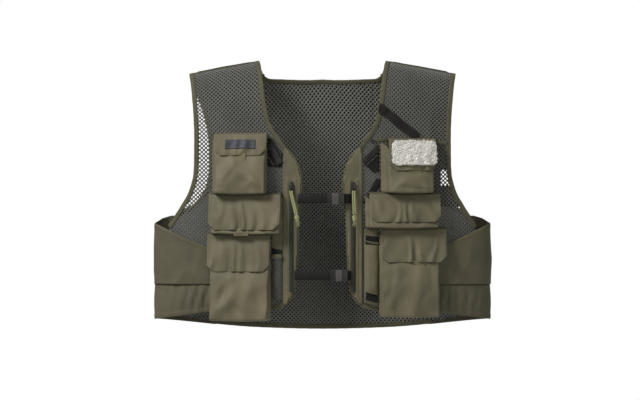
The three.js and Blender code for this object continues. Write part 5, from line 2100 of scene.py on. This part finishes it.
class VEST_OT_straps(VestStep, bpy.types.Operator):
    """The chest and waist straps and their side-release buckles"""

    bl_idname = "vest.straps"
    bl_label = "Straps and buckles"

    def execute(self, context):
        for name, strap in STRAPS.items():
            self.webbing(name, strap)
            self.socket(name, strap)
            self.plug(name, strap)
        return {"FINISHED"}

    def on_placket(self, x):
        return x, -(FRONT_Y - FRONT_SLOPE * abs(x)) - STRAP_OUT

    def band(self, name, node, route, height, rows):
        line = smooth_line(route, 2 * MM)
        points = np.stack([line[:, 0], line[:, 1], np.full(len(line), height)], axis=-1) + HOME
        along = np.gradient(points, axis=0)
        track = Track(points, np.cross(along, (0, 0, -1.0)))
        bm = bmesh.new()
        add_swept(bm, track, rounded_bar(18 * MM, 1.8 * MM), cell=2 * MM)
        for distance in rows:
            where = np.full(9, distance)
            span = np.linspace(-7 * MM, 7 * MM, 9)
            cross_points = track.place(where, span, np.full(9, 0.95 * MM))
            add_stitches(bm, Track(cross_points, track.at(where, track.normals)), spacing=2.6 * MM)
        obj = object_from(bm, name, looks_named("webbing", "dark_thread"))
        dress(obj, "vest", "webbing", node)

    def webbing(self, name, strap):
        end, right, bend = strap["socket_end"], strap["right_end"], strap["bend"]
        start = end - SOCKET
        route = [self.on_placket(right), self.on_placket(right * 0.5 + bend * 0.5 - 3 * MM),
                 (bend, -STRAP_Y), (0, -STRAP_Y), (start - 7 * MM, -STRAP_Y)]
        self.band(f"{name}_webbing_right", f"{name}_strap_right", route, strap["height"], (3 * MM, 11 * MM))
        sewn = self.on_placket(max(end + 5 * MM, 53.5 * MM))
        route = [(end - 4 * MM, -STRAP_Y), (end + 1 * MM, -STRAP_Y), sewn]
        self.band(f"{name}_webbing_left", f"{name}_strap_left", route, strap["height"], (9 * MM,))

    def socket(self, name, strap):
        """A flat sleeve with a window at each side and a bar for the webbing at its end."""
        bm = bmesh.new()
        start, z = strap["socket_end"] - SOCKET, strap["height"]
        for face in (-1, 1):
            y = -STRAP_Y + face * 3.55 * MM
            add_block(bm, (start + 5.9 * MM, y, z), (11.6 * MM, 1.9 * MM, 21.4 * MM), material=1)
            add_block(bm, (start + 17.1 * MM, y, z), (10.6 * MM, 1.9 * MM, 20.6 * MM))
            add_block(bm, (start + 11.6 * MM, y, z), (4 * MM, 1.7 * MM, 15.5 * MM))
            for rib in (-3, 0, 3):
                grip = (start + 6 * MM, y + face * 0.8 * MM, z + rib * MM)
                add_block(bm, grip, (7 * MM, 0.9 * MM, 1.1 * MM),
                          bevel=0.3 * MM, material=1)
        for edge in (-1, 1):
            cheek = (start + 3.4 * MM, -STRAP_Y, z + edge * 10 * MM)
            add_block(bm, cheek, (6.6 * MM, 7 * MM, 1.8 * MM), material=1)
            add_block(bm, (start + 18.3 * MM, -STRAP_Y, z + edge * 9.9 * MM), (8.2 * MM, 7 * MM, 1.2 * MM),
                      bevel=0.4 * MM)
        obj = object_from(bm, f"{name}_socket", looks_named("buckle", "pale_buckle"))
        dress(obj, "vest", "buckle_plastic", f"{name}_buckle_socket")

    def plug(self, name, strap):
        """A base whose bars hold the webbing, and two prongs that spring into the socket's windows."""
        bm = bmesh.new()
        start, z = strap["socket_end"] - SOCKET, strap["height"]
        base = start - 9.35 * MM
        for face in (-1, 1):
            y = -STRAP_Y + face * 2.5 * MM
            for along, width in ((1.1, 2.2), (4.4, 1.8), (7.8, 2.2)):
                add_block(bm, (base + along * MM, y, z), (width * MM, 2.3 * MM, 20.6 * MM))
            for edge in (-1, 1):
                add_block(bm, (start + 7.2 * MM, -STRAP_Y + face * 1.72 * MM, z + edge * 6.6 * MM),
                          (15.4 * MM, 0.8 * MM, 3.6 * MM), bevel=0.3 * MM)
        for edge in (-1, 1):
            add_block(bm, (base + 4.5 * MM, -STRAP_Y, z + edge * 10.2 * MM), (9 * MM, 7.3 * MM, 1.5 * MM))
            add_block(bm, (start + 10.8 * MM, -STRAP_Y, z + edge * 8.9 * MM), (5 * MM, 4 * MM, 1.7 * MM))
        obj = object_from(bm, f"{name}_plug", [look_named("buckle")])
        dress(obj, f"{name}_plug", "buckle_plastic", f"{name}_buckle_plug")


# ---------------------------------------------------------------- hang loop and the painted shade behind the mesh


class VEST_OT_loop(VestStep, bpy.types.Operator):
    """The loop of webbing that the vest hangs by, and near-black sheets behind the back's mesh and part of the left
    front's: painted shade seen through the holes
    """

    bl_idname = "vest.loop"
    bl_label = "Hang loop and lining"

    def execute(self, context):
        self.loop()
        self.lining()
        return {"FINISHED"}

    def loop(self):
        low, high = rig.box("hang_loop")
        middle = np.array([(low.z + high.z) / 2 - HOME[2]])
        shape = ((-19, -1), (-17, 3), (-14, 8), (-7, 11), (0, 11.8), (7, 11), (14, 8), (17, 3), (19, -1))
        knots = [on_face(1, np.zeros(1), middle + up * MM, SECOND + out * MM, 1)[0] for up, out in shape]
        line = smooth_line(knots, 1.5 * MM)
        normals = np.cross(np.gradient(line, axis=0), (1.0, 0, 0))
        bm = bmesh.new()
        track = Track(line, normals)
        add_swept(bm, track, rounded_bar(11 * MM, 1.7 * MM), cell=1.5 * MM)
        for end in (2 * MM, track.length - 2 * MM):
            where = np.full(5, end)
            bar = track.place(where, np.linspace(-4 * MM, 4 * MM, 5), np.full(5, 0.9 * MM))
            add_stitches(bm, Track(bar, track.at(where, track.normals)), spacing=1.6 * MM)
        dress(object_from(bm, "loop_webbing", looks_named("webbing", "dark_thread")),
              "vest", "webbing", "hang_loop")

    def lining(self):
        # A near-black sheet behind the back's mesh: painted shade seen through its holes.
        bm = pattern((-300 * MM, 300 * MM), (-700 * MM, -4 * MM), 7 * MM)

        def shell_points(x, y, out):
            return on_shell(x, turn_of_length(-y, 1), out)

        centres = face_centres(bm)
        bare = bare_shell(centres[:, 0], turn_of_length(-centres[:, 1], 1))
        trim_outside(bm, back_outline(), bare[:, ::2], 5.5 * MM)
        obj = sewn_cloth(
            "back_lining", bm, lambda x, y, _z: shell_points(x, y, np.full_like(x, 2.1 * MM)),
            (0, 1, 0), look_named("lining"), wall=0.3 * MM)
        dress(obj, "vest", "mesh_fabric")
        # The same near-black painted shade behind the left front's mesh by its armhole, with a gap left open.
        bm = pattern((206 * MM, 266 * MM), (232 * MM, 478 * MM), 5 * MM)
        trim_outside(bm, front_outline(1), face_centres(bm), 3 * MM)
        middles = {face: face.calc_center_median() for face in bm.faces}
        gap = [f for f, m in middles.items() if 270 * MM < m.y < 301 * MM and m.x > 228 * MM]
        bmesh.ops.delete(bm, geom=gap, context="FACES")
        obj = sewn_cloth(
            "front_lining", bm, lambda x, z, _z: on_face(LEFT, x, z, np.full_like(x, -0.3 * MM)),
            (0, 1, 0), look_named("lining"), wall=0.3 * MM)
        dress(obj, "vest", "mesh_fabric")


# ---------------------------------------------------------------- the panel and the add-on

STEPS = ("stage", "pull_cords", "mesh_panels", "back_panels", "side_panels", "bindings", "plackets",
         "pockets", "flaps", "patches", "holders", "straps", "loop")


class VEST_PT_panel(bpy.types.Panel):
    """Every step of making the vest, and its colours and sizes"""

    bl_label = "Fishing Vest"
    bl_idname = "VEST_PT_panel"
    bl_space_type = "VIEW_3D"
    bl_region_type = "UI"
    bl_category = "Vest"

    def draw(self, context):
        for step in STEPS:
            self.layout.operator(f"vest.{step}")
        for title in ("vest_colours", "vest_sizes", "vest_stage"):
            box = self.layout.box()
            group = getattr(context.scene, title)
            for name in type(group).__annotations__:
                box.prop(group, name)


CLASSES = (
    VestColours, VestSizes, VestStage, VEST_OT_stage, VEST_OT_pull_cords, VEST_OT_mesh_panels,
    VEST_OT_back_panels, VEST_OT_side_panels, VEST_OT_bindings, VEST_OT_plackets, VEST_OT_pockets,
    VEST_OT_flaps, VEST_OT_patches, VEST_OT_holders, VEST_OT_straps, VEST_OT_loop, VEST_PT_panel,
)


def register():
    for entry in CLASSES:
        bpy.utils.register_class(entry)
    bpy.types.Scene.vest_colours = PointerProperty(type=VestColours)
    bpy.types.Scene.vest_sizes = PointerProperty(type=VestSizes)
    bpy.types.Scene.vest_stage = PointerProperty(type=VestStage)


def unregister():
    del bpy.types.Scene.vest_colours, bpy.types.Scene.vest_sizes, bpy.types.Scene.vest_stage
    for entry in reversed(CLASSES):
        bpy.utils.unregister_class(entry)


def main():
    register()
    for step in STEPS:
        getattr(bpy.ops.vest, step)()
    sizes = {"cad": [list(corner) for corner in CAD_BOX], "visual": [list(corner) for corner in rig.bounds()]}
    with open("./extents.json", "w") as file:
        json.dump(sizes, file)


if __name__ == "__main__":
    main()
